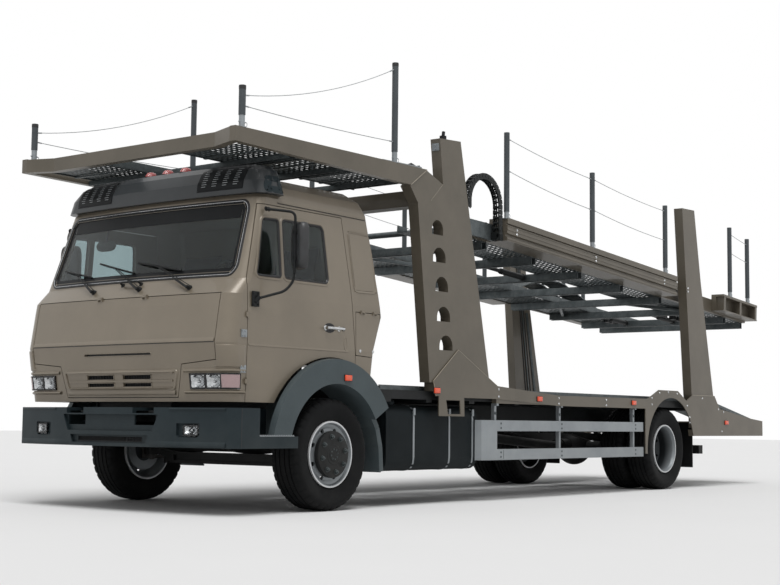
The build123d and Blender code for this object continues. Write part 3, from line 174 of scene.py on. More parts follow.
def ramp(tree, value, low, high, start=0.0, end=1.0):
    scale = newNode(tree, "ShaderNodeMapRange", From_Min=low, From_Max=high, To_Min=start, To_Max=end)
    wire(tree, value, scale.inputs["Value"])
    return scale.outputs["Result"]


def compute(tree, operation, first, second=None):
    node = newNode(tree, "ShaderNodeMath", operation=operation)
    wire(tree, first, node.inputs[0])
    if isinstance(second, float):
        node.inputs[1].default_value = second
    elif second:
        wire(tree, second, node.inputs[1])
    return node.outputs[0]


def splitPlace(tree, source):
    parts = newNode(tree, "ShaderNodeSeparateXYZ")
    wire(tree, source, parts.inputs[0])
    return parts.outputs


def texture(tree, kind, place, **values):
    node = newNode(tree, "ShaderNodeTex" + kind, **values)
    wire(tree, place, node.inputs["Vector"])
    return node.outputs


def startMaterial(name):
    material = bpy.data.materials.new(name)
    material.use_nodes = True
    tree = material.node_tree
    place = newNode(tree, "ShaderNodeTexCoord").outputs["Object"]
    return material, tree, tree.nodes["Principled BSDF"], place


def addRelief(tree, shader, height, strength):
    relief = newNode(tree, "ShaderNodeBump", Strength=strength, Distance=0.002)
    wire(tree, height, relief.inputs["Height"])
    wire(tree, relief.outputs["Normal"], shader.inputs["Normal"])


def makeFinish(name, look):
    look = {**plainFinish, **look}
    material, tree, shader, place = startMaterial(name)
    patches = texture(tree, "Noise", place, Scale=look["patch"], Detail=6.0, Roughness=0.62)[0]
    grain = texture(tree, "Noise", place, Scale=look["grain"], Detail=3.0)[0]
    tone = mixTone(tree, ramp(tree, patches, 0.35, 0.65), look["shade"], look["tone"])
    if "spangle" in look:  # zinc crystals
        flake = newNode(tree, "ShaderNodeSeparateColor")
        wire(tree, texture(tree, "Voronoi", place, Scale=look["spangle"])["Color"], flake.inputs[0])
        tone = mixTone(tree, compute(tree, "MULTIPLY", flake.outputs[0], 0.5), tone, look["shade"])
    if look["dust"]:  # settles on what faces up and rises from the road
        facing = splitPlace(tree, newNode(tree, "ShaderNodeNewGeometry").outputs["Normal"])[2]
        settled = compute(tree, "MULTIPLY", ramp(tree, facing, 0.6, 1.0), ramp(tree, patches, 0.4, 0.7))
        nearRoad = ramp(tree, splitPlace(tree, place)[2], 0.1, 0.8, 0.6, 0.0)
        splashed = compute(tree, "MULTIPLY", nearRoad, ramp(tree, patches, 0.35, 0.7))
        dusty = compute(tree, "MULTIPLY", compute(tree, "MAXIMUM", settled, splashed), look["dust"])
        tone = mixTone(tree, dusty, tone, dustTone)
    wire(tree, tone, shader.inputs["Base Color"])
    wire(tree, ramp(tree, grain, 0.3, 0.7, *look["gloss"]), shader.inputs["Roughness"])
    addRelief(tree, shader, grain, look["relief"])
    shader.inputs["Metallic"].default_value = look["metal"]
    shader.inputs["Specular IOR Level"].default_value = look["shine"]
    shader.inputs["Coat Weight"].default_value = look["coat"]
    return material


def makeGlass(name, tint, roughness, smear):
    material, tree, shader, place = startMaterial(name)
    film = texture(tree, "Noise", place, Scale=smear, Detail=4.0)[0]
    clearer = tuple(min(1, part * 1.12) for part in tint)
    wire(tree, mixTone(tree, film, tint, clearer), shader.inputs["Base Color"])
    wire(tree, ramp(tree, film, 0.4, 0.8, roughness, roughness + 0.05), shader.inputs["Roughness"])
    shader.inputs["Transmission Weight"].default_value = 1.0
    shader.inputs["IOR"].default_value = 1.3
    return material


def makeLens(name, tone, pitch, glow=0.0):
    # Moulded lens: rows of small ribs under a clear coat
    material, tree, shader, place = startMaterial(name)
    ribs = texture(tree, "Wave", place, Scale=pitch, bands_direction="DIAGONAL")[1]
    shaded = tuple(part * 0.55 for part in tone)
    wire(tree, mixTone(tree, ribs, tone, shaded), shader.inputs["Base Color"])
    addRelief(tree, shader, ribs, 0.4)
    shader.inputs["Roughness"].default_value = 0.18
    shader.inputs["Coat Weight"].default_value = 0.6
    if glow:
        shader.inputs["Emission Strength"].default_value = glow
        shader.inputs["Emission Color"].default_value = (*tone, 1)
    return material


paint = {name: makeFinish(name, look) for name, look in finishes.items()}
paint["cabGlass"] = makeGlass("cabGlass", (0.43, 0.51, 0.52), 0.01, 3)
paint["lampGlass"] = makeGlass("lampGlass", (0.90, 0.92, 0.92), 0.02, 40)
paint["redLens"] = makeLens("redLens", (0.42, 0.018, 0.014), 160)
paint["orangeLens"] = makeLens("orangeLens", (0.75, 0.065, 0.008), 180, 0.25)
paint["pinkLens"] = makeLens("pinkLens", (0.50, 0.34, 0.345), 160)

nodeFinish = {
    "bronzePaint": ["cab_shell", "front_lid", "door_left", "door_right", "locker_lid_left", "locker_lid_right"],
    "deckPaint": ["cab_deck_frame", "platform_sides", "front_posts", "rear_posts", "deck_beams"],
    "darkPlastic": ["front_bumper", "mirror_left", "mirror_right"],
    "archPlastic": ["wheel_arches"],
    "visorGloss": ["sun_visor"],
    "blackPaint": ["chassis_frame", "leaf_springs", "driveline", "battery_box", "track_rod", "platform_frame",
                   "rear_axle", "front_axle"],
    "castIron": ["engine_block", "knuckle_left", "knuckle_right"],
    "zinc": ["cab_deck_runways", "deck_runways", "lift_carriage", "platform_runways"],
    "railPaint": ["cab_deck_rails", "deck_rails"],
    "guardAlloy": ["side_guards"],
    "rubber": ["mud_flaps", "front_tyre_left", "front_tyre_right", "rear_tyres_left", "rear_tyres_right"],
    "seatCloth": ["seats"],
    "dashTrim": ["dashboard"],
    "tankPaint": ["fuel_tank"],
    "chainPlastic": ["energy_chain"],
    "cabGlass": ["windscreen", "door_glass_left", "door_glass_right"],
    "lampGlass": ["headlamps"],
    "redLens": ["rear_lamps"],
}
for finishName, names in nodeFinish.items():
    for name in names:
        mesh = nodes[name].data
        mesh.materials.clear()
        mesh.materials.append(paint[finishName])


# Metres from the axle: the dark disc's edge and the bright lip's; on the rear wheels the dark disc reaches over the
# cone as painted shade.
# The rear barrel gets painted shade too: the wheel's depth is how far inside its outer lip it is fully dark, and the
# fade how far it takes to pale again.
rimLook = {"front": {"node": "front_rim_", "centre": frontAxleX, "disc": 0.101, "shadeDepth": None},
           "rear": {"node": "rear_rims_", "centre": rearAxleX, "disc": 0.212, "shadeDepth": 0.13},
           "lip": 0.251, "shadeFade": 0.09, "discAndShadeTone": (0.035, 0.040, 0.044), "paintedShadeTone": (0.026, 0.030, 0.033),
           "lipTone": (0.62, 0.63, 0.64)}


def makeRimFinish(name, wheel, outerY):
    material = paint["guardAlloy"].copy()
    material.name = name
    tree = material.node_tree
    shader = tree.nodes["Principled BSDF"]
    place = splitPlace(tree, newNode(tree, "ShaderNodeTexCoord").outputs["Object"])
    offset = newNode(tree, "ShaderNodeCombineXYZ")
    for part, centre in ((0, wheel["centre"]), (2, wheelHeight)):
        wire(tree, compute(tree, "SUBTRACT", place[part], float(centre)), offset.inputs[part])
    reach = newNode(tree, "ShaderNodeVectorMath", operation="LENGTH")
    wire(tree, offset.outputs[0], reach.inputs[0])
    distance = reach.outputs["Value"]
    tone = shader.inputs["Base Color"].links[0].from_socket
    # Dark disc: the wheel's own dark centre, and on the rear wheels painted shade over the cone as well
    tone = mixTone(tree, ramp(tree, distance, wheel["disc"], wheel["disc"] + 0.003), rimLook["discAndShadeTone"], tone)
    # Painted shade deep inside the rear barrel, fading out toward the outer lip
    if wheel["shadeDepth"]:
        outward, dark = compute(tree, "ABSOLUTE", place[1]), outerY - wheel["shadeDepth"]
        tone = mixTone(tree, ramp(tree, outward, dark, dark + rimLook["shadeFade"]), rimLook["paintedShadeTone"], tone)
    tone = mixTone(tree, ramp(tree, distance, rimLook["lip"], rimLook["lip"] + 0.003), tone, rimLook["lipTone"])
    wire(tree, tone, shader.inputs["Base Color"])
    return material


for wheelName in ("front", "rear"):
    wheel = rimLook[wheelName]
    rimFinish = makeRimFinish(wheelName + "RimFinish", wheel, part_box(wheel["node"] + "left")[1][1])
    for sideName in ("left", "right"):
        rim = nodes[wheel["node"] + sideName].data
        rim.materials.clear()
        rim.materials.append(rimFinish)
print("finishes made:", len(paint))


# Helpers for the pieces


def finishPiece(name, mesh, body, finishName):
    piece = bpy.data.objects.new(name, mesh)
    bpy.context.scene.collection.objects.link(piece)
    piece.data.materials.append(paint[finishName])
    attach(piece, body)
    return piece


def meshOf(name, bm, smoothAngle=35):
    bmesh.ops.recalc_face_normals(bm, faces=bm.faces)
    for face in bm.faces:
        face.smooth = True
    for edge in bm.edges:
        if len(edge.link_faces) == 2 and edge.calc_face_angle() > radians(smoothAngle):
            edge.smooth = False
    mesh = bpy.data.meshes.new(name)
    bm.to_mesh(mesh)
    bm.free()
    return mesh


def addSlab(bm, low, high, soften):
    # A box between two corners with softened edges
    made = bmesh.ops.create_cube(bm, size=1)
    size = [max(b - a, 1e-4) for a, b in zip(low, high)]
    middle = [(a + b) / 2 for a, b in zip(low, high)]
    bmesh.ops.transform(bm, matrix=Matrix.Translation(middle) @ Matrix.Diagonal((*size, 1)), verts=made["verts"])
    edges = list(dict.fromkeys(edge for vert in made["verts"] for edge in vert.link_edges))
    bmesh.ops.bevel(bm, geom=edges, offset=min(soften, min(size) * 0.3), segments=2, affect="EDGES")


def spread(low, high, parts):
    return [low + (high - low) * k / parts for k in range(parts + 1)]


def joinRings(bm, rings, around=True, capped=True):
    # Faces from each ring to the next, and over both ends
    for first, second in zip(rings, rings[1:]):
        for k in range(len(first) if around else len(first) - 1):
            j = (k + 1) % len(first)
            bm.faces.new((first[k], first[j], second[j], second[k]))
    if capped:
        bm.faces.new(rings[0])
        bm.faces.new(list(reversed(rings[-1])))


def addRing(bm, centre, along, radius, sides):
    across = along.cross(Vector((0, 0, 1)))
    if across.length < 0.1:
        across = along.cross(Vector((0, 1, 0)))
    across.normalize()
    rise = across.cross(along)
    turns = [2 * pi * k / sides for k in range(sides)]
    return [bm.verts.new(centre + radius * (cos(turn) * across + sin(turn) * rise)) for turn in turns]


def addPipe(bm, points, radius, sides=12):
    # A round bar through points, with a ring at each and closed ends
    points = [Vector(point) for point in points]
    rings = []
    for point, before, after in zip(points, points[:1] + points, points[1:] + points[-1:]):
        rings.append(addRing(bm, point, (after - before).normalized(), radius, sides))
    joinRings(bm, rings)


def addRings(bm, centre, along, rings, sides=24):
    # A turned form: rings of (distance along the axis, radius), closed at both ends
    along = Vector(along).normalized()
    joinRings(bm, [addRing(bm, Vector(centre) + along * reach, along, radius, sides) for reach, radius in rings])


# Tyres: ribbed and notched treads over plain sidewalls

# "half" is half its width, "crown" its radius; "seat" and "bead" say where it meets the rim
tyreLook = {"half": 0.1425, "crown": 0.4475, "seat": 0.104, "bead": 0.252, "steps": 180,
            "grooves": (-0.072, -0.026, 0.026, 0.072), "grooveWidth": 0.009, "grooveDepth": 0.012,
            "notchDepth": 0.011, "notchEvery": 5, "sidewallRing": 0.0025}


def tyreProfile(half, crown, seat, bead):
    # (across, radius, kind): kind is 0 on the sidewall, 1 on a rib, 2 in a groove and 3 on the shoulder
    points = [(-seat, bead, 0), (-seat, bead + 0.015, 0)]
    for share in (0.15, 0.3, 0.45, 0.6, 0.75, 0.9):
        bulge = half - (half - seat) * (1 - share) ** 2
        points.append((-bulge, bead + 0.015 + share * (crown - bead - 0.055), 0))
    points += [(-half + 0.006, crown - 0.040, 0), (-half + 0.012, crown - 0.028, 3), (-half + 0.022, crown - 0.014, 3),
               (-half + 0.036, crown - 0.0065, 3)]
    width = tyreLook["grooveWidth"] / 2
    for groove in tyreLook["grooves"]:
        drop = 0.0065 * (groove / (half - 0.036)) ** 2
        for offset, kind in ((-width - 0.0015, 1), (-width, 2), (width, 2), (width + 0.0015, 1)):
            points.append((groove + offset, crown - drop - (tyreLook["grooveDepth"] if kind == 2 else 0), kind))
    return points + [(-across, radius, kind) for across, radius, kind in reversed(points[:12])]


def addTyre(bm, x, y, z):
    profile = tyreProfile(*(tyreLook[size] for size in ("half", "crown", "seat", "bead")))
    rings = []
    for step in range(tyreLook["steps"]):
        turn = 2 * pi * step / tyreLook["steps"]
        notch = step % tyreLook["notchEvery"] == 0
        ring = []
        for across, radius, kind in profile:
            if notch and kind == 3:
                radius -= tyreLook["notchDepth"]
            if kind == 1 and step % 4 == 0:
                across += 0.002
            if kind == 0 and 0.33 < radius < 0.35:
                radius += tyreLook["sidewallRing"]
            ring.append(bm.verts.new((x + radius * sin(turn), y + across, z + radius * cos(turn))))
        rings.append(ring)
    joinRings(bm, rings + rings[:1], capped=False)


for name, body in (("front_tyre_left", "left_front_wheel"), ("front_tyre_right", "right_front_wheel"),
                   ("rear_tyres_left", "left_rear_wheels"), ("rear_tyres_right", "right_rear_wheels")):
    low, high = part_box(name)
    middleX, middleZ = (low[0] + high[0]) / 2, (low[2] + high[2]) / 2
    bm = bmesh.new()
    for y in sorted({round(low[1] + tyreLook["half"], 4), round(high[1] - tyreLook["half"], 4)}):
        addTyre(bm, middleX, y, middleZ)
    piece = finishPiece(name + "_treaded", meshOf(name + "_treaded", bm, 30), body, "rubber")
    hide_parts(name)
print("tyres made")


# Places on the CAD surfaces, met by straight lines

skins = {}


def meet(names, start, way, step=Vector((0, 0, 0.012))):
    # A line that passes through an opening is moved up or down to the edge beside it
    nearest = None
    for name in names:
        if name not in skins:
            mesh = nodes[name].data
            skins[name] = BVHTree.FromPolygons([vert.co for vert in mesh.vertices],
                                               [face.vertices for face in mesh.polygons])
        hit, _, _, reach = skins[name].ray_cast(start, way)
        if hit is not None and (nearest is None or reach < nearest[1]):
            nearest = (hit, reach)
    if nearest is None:
        if step.length > 0.1:
            raise ValueError("no surface of " + str(names) + " from " + str(start))
        return meet(names, start + step, way, step * -2) - step
    return nearest[0]


def onFront(names, y, z, proud=0.0):
    return meet(names, spot(1.7, y, z), Vector((-1, 0, 0))) + Vector((proud, 0, 0))


def onSide(names, ahead, z, side, proud=0.0):
    return meet(names, spot(ahead, side * 1.7, z), Vector((0, -side, 0))) + Vector((0, side * proud, 0))


def sidePlace(names, side):
    # Places a trim's points, given as (ahead, z), on one side
    return lambda point, proud: onSide(names, point.x, point.y, side, proud)


def onCorner(names, turn, z, side, proud=0.0):
    # Seen from a point inside the cab's corner; turn 0 looks forward and 90 looks to the side
    outward = Vector((cos(radians(turn)), side * sin(radians(turn)), 0))
    return meet(names, spot(0.95, side * 0.95, z) + outward * 0.7, -outward) + outward * proud


def rounded(before, here, after, cut, parts):
    # Points along a soft corner that starts and ends the cut away from here
    start = here + (before - here).normalized() * cut
    end = here + (after - here).normalized() * cut
    return [(1 - t) ** 2 * start + 2 * t * (1 - t) * here + t ** 2 * end for t in spread(0, 1, parts)]


def softPath(corners, radius, step=0.05):
    # Points along a closed outline with rounded corners, each with the outward direction there
    corners = [Vector(corner) for corner in corners]
    points = []
    for before, here, after in zip(corners[-1:] + corners, corners, corners[1:] + corners[:1]):
        cut = min(radius, 0.45 * (here - before).length, 0.45 * (after - here).length)
        points += rounded(before, here, after, cut, 4)
    fine = []
    for first, second in zip(points, points[1:] + points[:1]):
        parts = max(1, int((second - first).length / step))
        fine += [first.lerp(second, k / parts) for k in range(parts)]
    area = sum(a.x * b.y - b.x * a.y for a, b in zip(fine, fine[1:] + fine[:1]))
    turn = 1 if area > 0 else -1
    path = []
    for before, here, after in zip(fine[-1:] + fine, fine, fine[1:] + fine[:1]):
        way = (after - before).normalized()
        path.append((here, Vector((way.y, -way.x)) * turn))
    return path


def addTrim(bm, path, section, place, closed=True):
    # A moulding along a path; its section gives pairs of (outward, proud)
    rings = [[bm.verts.new(place(point + outward * side, proud)) for point, side in path] for outward, proud in section]
    joinRings(bm, rings, closed, False)


def addPatch(bm, place, across, upward, proud):
    # A sheet over a surface; proud gives its height above it at each point
    joinRings(bm, [[bm.verts.new(place(u, v, proud(u, v))) for u in across] for v in upward], False, False)


def addBar(bm, start, end, wide, high, up=(0, 0, 1)):
    # A rectangular bar between two points
    start, end = Vector(start), Vector(end)
    along = (end - start).normalized()
    across = along.cross(Vector(up)).normalized()
    rise = across.cross(along)
    rings = [[bm.verts.new(point + across * (a * wide / 2) + rise * (b * high / 2))
              for a, b in ((-1, -0.7), (-0.8, -1), (0.8, -1), (1, -0.7), (1, 0.7), (0.8, 1), (-0.8, 1), (-1, 0.7))]
             for point in (start, end)]
    joinRings(bm, rings)


def addBolt(bm, place, way, radius=0.009, height=0.006):
    # A washer under a six-sided head
    addRings(bm, place, way, [(-0.002, radius * 1.5), (height * 0.25, radius * 1.5)], 16)
    addRings(bm, place, way, [(0, radius), (height * 0.8, radius), (height, radius * 0.8)], 6)


def makePiece(name, body, finishName, slotName, build, smoothAngle=35):
    bm = bmesh.new()
    build(bm)
    return finishPiece(name, meshOf(name, bm, smoothAngle), body, finishName)


sides = ((1, "left"), (-1, "right"))


# Windscreen: dark band, bright bead and rubber around the glass, wipers and a grab bar below

screenLook = {"corners": [(1.015, 1.83), (1.042, 1.87), (1.006, 2.33), (0.975, 2.372), (-0.975, 2.372), (-1.006, 2.33),
                          (-1.042, 1.87), (-1.015, 1.83)],
              "band": [(-0.030, 0.0008), (-0.004, 0.0012), (0.004, 0.0015), (0.020, 0.003), (0.024, 0.003)],
              "bead": [(0.020, 0.002), (0.0215, 0.0065), (0.0245, 0.0065), (0.026, 0.002)],
              "rubber": [(0.025, 0.002), (0.028, 0.0075), (0.037, 0.006), (0.042, -0.002)],
              "stripReach": 0.968, "stripZ": (2.262, 2.368)}


def onScreen(point, proud):
    return onFront(("windscreen", "cab_shell"), point.x, point.y, proud)


screenPath = softPath(screenLook["corners"], 0.05)
for trimName, finishName, slotName in (("band", "glossBlack", "dark_plastic"), ("bead", "brightSteel", "galvanised"),
                                       ("rubber", "seal", "dark_plastic")):
    makePiece("windscreen_" + trimName, "chassis", finishName, slotName,
              lambda bm: addTrim(bm, screenPath, screenLook[trimName], onScreen))


# A dark film along the top of the glass: partly a tinted sun strip, partly a painted dark reflection of the visor above
def buildTintAndReflection(bm):
    reach = screenLook["stripReach"]
    addPatch(bm, lambda y, z, proud: onFront(("windscreen",), y, z, proud), spread(-reach, reach, 30),
             spread(*screenLook["stripZ"], 4), lambda y, z: 0.0006)


makePiece("windscreen_tint_and_reflection", "chassis", "glossBlack", "dark_plastic", buildTintAndReflection)

# Places: pivot y, pivot z, blade's two ends as (y, z); "elbow" is the share of the arm that is a flat bar
wiperLook = {"places": ((-0.405, 1.723, (-0.938, 1.942), (-0.528, 1.862)),
                        (0.142, 1.721, (-0.459, 1.972), (0.003, 1.866)), (0.691, 1.709, (0.022, 1.951), (0.527, 1.86))),
             "pivot": [(0, 0.024), (0.012, 0.022), (0.016, 0.015), (0.040, 0.014), (0.046, 0.010)],
             "elbow": 0.38, "arm": 0.0045, "hose": 0.0035, "spine": 0.0080, "rubber": 0.0055, "clips": ((1, 4), (6, 9))}


def buildWipers(bm):
    look = wiperLook
    for pivotY, pivotZ, bladeStart, bladeEnd in look["places"]:
        pivot = onFront(("cab_shell",), pivotY, pivotZ)
        addRings(bm, pivot - Vector((0.004, 0, 0)), (1, 0, 0.25), look["pivot"], 16)
        ends = [onScreen(Vector(end), 0.016) for end in (bladeStart, bladeEnd)]
        middle = ends[0].lerp(ends[1], 0.5) + Vector((0.022, 0, 0))
        knuckle = pivot + Vector((0.036, 0, 0.008))
        elbow = knuckle.lerp(middle, look["elbow"])
        addBar(bm, knuckle, elbow, 0.018, 0.011, (1, 0, 0))
        addPipe(bm, [elbow, middle], look["arm"], 8)
        addPipe(bm, [knuckle + Vector((0, 0.03, 0.012)), middle + Vector((0, 0.024, -0.004))], look["hose"], 8)
        blade = [(t, Vector(bladeStart).lerp(Vector(bladeEnd), t)) for t in spread(0, 1, 10)]
        spine = [onScreen(point, 0.012 + 0.010 * sin(pi * t)) for t, point in blade]
        rubber = [onScreen(point, 0.005) for _, point in blade]
        addPipe(bm, spine, look["spine"], 8)
        addPipe(bm, rubber, look["rubber"], 6)
        clip = Vector((0.006, 0, 0))
        for first, last in look["clips"]:
            addBar(bm, spine[first] + clip, spine[last] + clip, 0.012, 0.005, (1, 0, 0))
            for k in (first, last):
                addBar(bm, spine[k] + Vector((0.004, 0, 0)), rubber[k], 0.010, 0.006, (0, 0, 1))
        addBar(bm, middle, spine[5], 0.022, 0.012, (0, 0, 1))


makePiece("wipers", "chassis", "blackPaint", "black_paint", buildWipers)


def buildGrabBar(bm):
    # A short bar on two round feet below the glass
    feet = [onFront(("cab_shell",), y, 1.765, -0.002) for y in (-0.085, 0.126)]
    lift = Vector((0.034, 0, 0.026))
    addPipe(bm, [feet[0], feet[0] + lift * 0.8, feet[0] + lift + Vector((0, 0.02, 0)),
                 feet[1] + lift - Vector((0, 0.02, 0)), feet[1] + lift * 0.8, feet[1]], 0.009, 12)
    for foot in feet:
        addRings(bm, foot, (1, 0, 0.3), [(0, 0.020), (0.005, 0.020), (0.009, 0.012)], 16)


makePiece("screen_grab_bar", "chassis", "blackPaint", "black_paint", buildGrabBar)

# Front panel: lip over its lower fold, ribs and framed openings

frontLook = {"lip": [(0.034, -0.0005), (0.014, 0.006), (0.004, 0.006), (0.001, -0.002)],
             "fold": [(0.001, 0.0006), (-0.005, 0.0006)],
             "frame": [(0.656, 1.082), (0.617, 0.934), (-0.617, 0.934), (-0.656, 1.082)],
             "frameSection": [(-0.016, -0.001), (-0.012, 0.0095), (-0.003, 0.0105), (0.004, 0.0095), (0.010, -0.001)],
             "ledge": [(0.045, -0.001), (0.020, 0.009), (0.006, 0.011), (-0.002, 0.008), (-0.006, -0.002)],
             "openings": ((1.018, 1.050), (0.961, 0.988)), "near": 0.055, "far": 0.368,
             "slotRim": [(0.0, -0.006), (0.0005, 0.004), (0.005, 0.005), (0.008, -0.001)],
             "longRim": [(0.0, -0.006), (0.0005, 0.003), (0.004, 0.0035), (0.007, -0.001)]}


def onLid(point, proud):
    return onFront(("front_lid",), point.x, point.y, proud)


def levelPath(reach, z):
    return [(Vector((y, z)), Vector((0, 1))) for y in spread(-reach, reach, 40)]


makePiece("lid_fold_lip", "front_panel", "bronzePaint", "bronze_paint",
          lambda bm: addTrim(bm, levelPath(1.046, 1.289), frontLook["lip"], onLid, False))
# A thin dark strip under the lip at the lid's fold: painted shade in the fold's gap
makePiece("lid_fold_painted_shade", "front_panel", "seal", "dark_plastic",
          lambda bm: addTrim(bm, levelPath(1.046, 1.289), frontLook["fold"], onLid, False))
makePiece("grille_frame", "front_panel", "bronzePaint", "bronze_paint",
          lambda bm: addTrim(bm, softPath(frontLook["frame"], 0.03), frontLook["frameSection"], onLid))
makePiece("lid_lower_ledge", "front_panel", "bronzePaint", "bronze_paint",
          lambda bm: addTrim(bm, levelPath(0.622, 0.900), frontLook["ledge"], onLid, False))


def buildOpenings(bm):
    # Dark inserts with upright ribs behind the four openings and the long slot
    for low, high in frontLook["openings"]:
        for side in (1, -1):
            skinX = onFront(("front_lid",), side * 0.380, (low + high) / 2).x
            for y in spread(0.060, 0.362, 16):
                addBar(bm, (skinX - 0.018, side * y, low), (skinX - 0.018, side * y, high), 0.004, 0.014, (1, 0, 0))
            near, far = sorted((side * 0.05, side * 0.374))
            addSlab(bm, (skinX - 0.040, near, low - 0.004), (skinX - 0.030, far, high + 0.004), 0.001)
    slot = onFront(("front_lid",), 0.0, 1.226)
    addSlab(bm, (slot.x - 0.045, -0.392, 1.198), (slot.x - 0.030, 0.392, 1.223), 0.001)


makePiece("grille_inserts", "front_panel", "seal", "dark_plastic", buildOpenings)


def buildSlotRims(bm):
    for low, high in frontLook["openings"]:
        for side in (1, -1):
            near, far = side * frontLook["near"], side * frontLook["far"]
            outline = [(near, low), (far, low), (far, high), (near, high)]
            addTrim(bm, softPath(outline, 0.004, 0.06), frontLook["slotRim"], onLid)
    outline = [(-0.385, 1.203), (0.385, 1.203), (0.385, 1.218), (-0.385, 1.218)]
    addTrim(bm, softPath(outline, 0.006, 0.06), frontLook["longRim"], onLid)


makePiece("grille_slot_rims", "front_panel", "bronzePaint", "bronze_paint", buildSlotRims)

# Cab corners: a raised panel above each set of lamps, a soft ledge below and the lamps' own units

# Each unit: nearest and farthest y, lowest and highest z; "turns" are degrees round the cab's corner
lampLook = {"units": ((0.787, 0.936, 0.944, 1.050), (0.944, 1.093, 0.944, 1.050), (0.796, 0.925, 0.595, 0.666)),
            "bowl": 0.021, "bezel": [(-0.008, -0.010), (-0.006, 0.0015), (0.001, 0.0022), (0.005, -0.001)],
            "turnBezel": [(-0.006, -0.004), (-0.004, 0.002), (0.002, 0.002), (0.004, -0.001)],
            "turns": (34, 66), "panelTurns": (20, 79),
            "panelRows": {1.268: 0.000, 1.262: 0.007, 1.250: 0.009, 1.118: 0.009, 1.104: 0.008, 1.098: -0.002},
            "ledgeRows": ((1.092, 0.0), (1.084, 0.010), (1.074, 0.012), (1.066, 0.006), (1.062, -0.002))}


def buildCornerPanels(bm):
    rows = lampLook["panelRows"]
    start, end = lampLook["panelTurns"]

    def proudAt(turn, z):
        edge = min(1, (turn - start) / 4, (end - turn) / 3)
        return max(-0.002, rows[z] * max(edge, 0) - 0.002 * (edge <= 0))

    for side in (1, -1):
        addPatch(bm, lambda turn, z, proud: onCorner(("cab_shell",), turn, z, side, proud),
                 spread(start, end, 22), list(rows), proudAt)


makePiece("corner_panels", "chassis", "bronzePaint", "bronze_paint", buildCornerPanels)


def buildCornerLedges(bm):
    upper = lampLook["ledgeRows"]
    lower = [(0.930 - (upper[0][0] - z) * 0.9, proud * 1.3) for z, proud in upper]
    for side in (1, -1):
        for rows in (dict(upper), dict(lower)):
            addPatch(bm, lambda y, z, proud: onFront(("cab_shell",), side * y, z, proud), spread(0.722, 1.09, 16),
                     list(rows), lambda y, z: rows[z])
            addPatch(bm, lambda turn, z, proud: onCorner(("cab_shell",), turn, z, side, proud), spread(24, 79, 18),
                     list(rows), lambda turn, z: rows[z])


makePiece("corner_ledges", "chassis", "bronzePaint", "bronze_paint", buildCornerLedges)


def lampUnits():
    for side in (1, -1):
        for near, far, lowZ, highZ in lampLook["units"]:
            place = lambda y, z, proud, side=side: onFront(("headlamps",), side * y, z, proud)
            yield place, near, far, lowZ, highZ


def buildBowls(bm):
    for place, low, high, lowZ, highZ in lampUnits():
        middle, middleZ = (low + high) / 2, (lowZ + highZ) / 2

        def bowl(u, z):
            reach = min(1, hypot((u - middle) / (high - low) * 2, (z - middleZ) / (highZ - lowZ) * 2))
            return -0.004 - lampLook["bowl"] * (1 - reach ** 2)
        addPatch(bm, place, spread(low, high, 14), spread(lowZ, highZ, 12), bowl)
        centre = place(middle, middleZ, -0.020)
        addRings(bm, centre, (1, 0, 0), [(0, 0.012), (0.008, 0.011), (0.014, 0.004)], 16)


makePiece("lamp_bowls", "chassis", "lampChrome", "lamp", buildBowls)


def buildBezels(bm):
    for place, low, high, lowZ, highZ in lampUnits():
        outline = [(low, lowZ), (high, lowZ), (high, highZ), (low, highZ)]
        addTrim(bm, softPath(outline, 0.014, 0.03), lampLook["bezel"],
                lambda point, proud: place(min(max(point.x, low - 0.005), high + 0.005), point.y, proud))
    for side in (1, -1):
        outline = [(33, 0.944), (68, 0.944), (68, 1.050), (33, 1.050)]
        path = [(point, Vector((way.x * 250, way.y))) for point, way in softPath(outline, 0.008, 4)]
        addTrim(bm, path, lampLook["turnBezel"],
                lambda point, proud: onCorner(("headlamps", "cab_shell"), point.x, point.y, side, proud))


makePiece("lamp_bezels", "chassis", "seal", "dark_plastic", buildBezels)


def buildTurnLamps(bm):
    for side in (1, -1):
        addPatch(bm, lambda turn, z, proud: onCorner(("headlamps",), turn, z, side, proud),
                 spread(*lampLook["turns"], 20), spread(0.949, 1.046, 10), lambda turn, z: 0.0005)


makePiece("turn_lamp_lenses", "chassis", "pinkLens", "lamp", buildTurnLamps)
print("cab front made")

# Doors: window surrounds, handles, mirrors, hinge plates and pressed lines

doorLook = {"quarter": [(0.868, 1.812), (0.848, 1.872), (0.772, 2.250), (0.603, 2.256), (0.603, 1.812)],
            "main": [(0.552, 1.812), (0.552, 2.262), (0.098, 2.262), (0.074, 2.232), (0.042, 1.838), (0.062, 1.812)],
            "rubber": [(-0.009, -0.004), (-0.006, 0.003), (0.004, 0.004), (0.009, 0.003), (0.011, -0.001)],
            "frame": [(0.011, -0.001), (0.014, 0.004), (0.022, 0.006), (0.030, 0.004), (0.034, -0.001)],
            "sidePress": [(-0.240, 2.267), (-0.532, 2.259), (-0.578, 1.775), (-0.289, 1.768)],
            "pressBead": [(-0.014, -0.001), (-0.009, 0.006), (-0.002, 0.007), (0.004, 0.006), (0.008, -0.001)],
            "crease": [(0.016, -0.0005), (0.005, 0.0035), (0.0, 0.0035), (-0.002, -0.001)], "creaseZ": 1.268,
            "oval": [(0.002, -0.001), (0, 0.0022), (-0.004, 0.0022), (-0.006, -0.001)],
            "handle": (0.106, -0.104, 1.450), "foot": [(-0.002, 0.022), (0.006, 0.021), (0.012, 0.013), (0.040, 0.011)],
            "cup": [(0.006, -0.001), (0.003, 0.003), (0.0, 0.003), (-0.006, 0.0008), (-0.033, 0.0006)],
            "lock": [(-0.002, 0.017), (0.009, 0.016), (0.011, 0.006), (0.009, 0.005)], "hinges": (1.355, 1.09)}


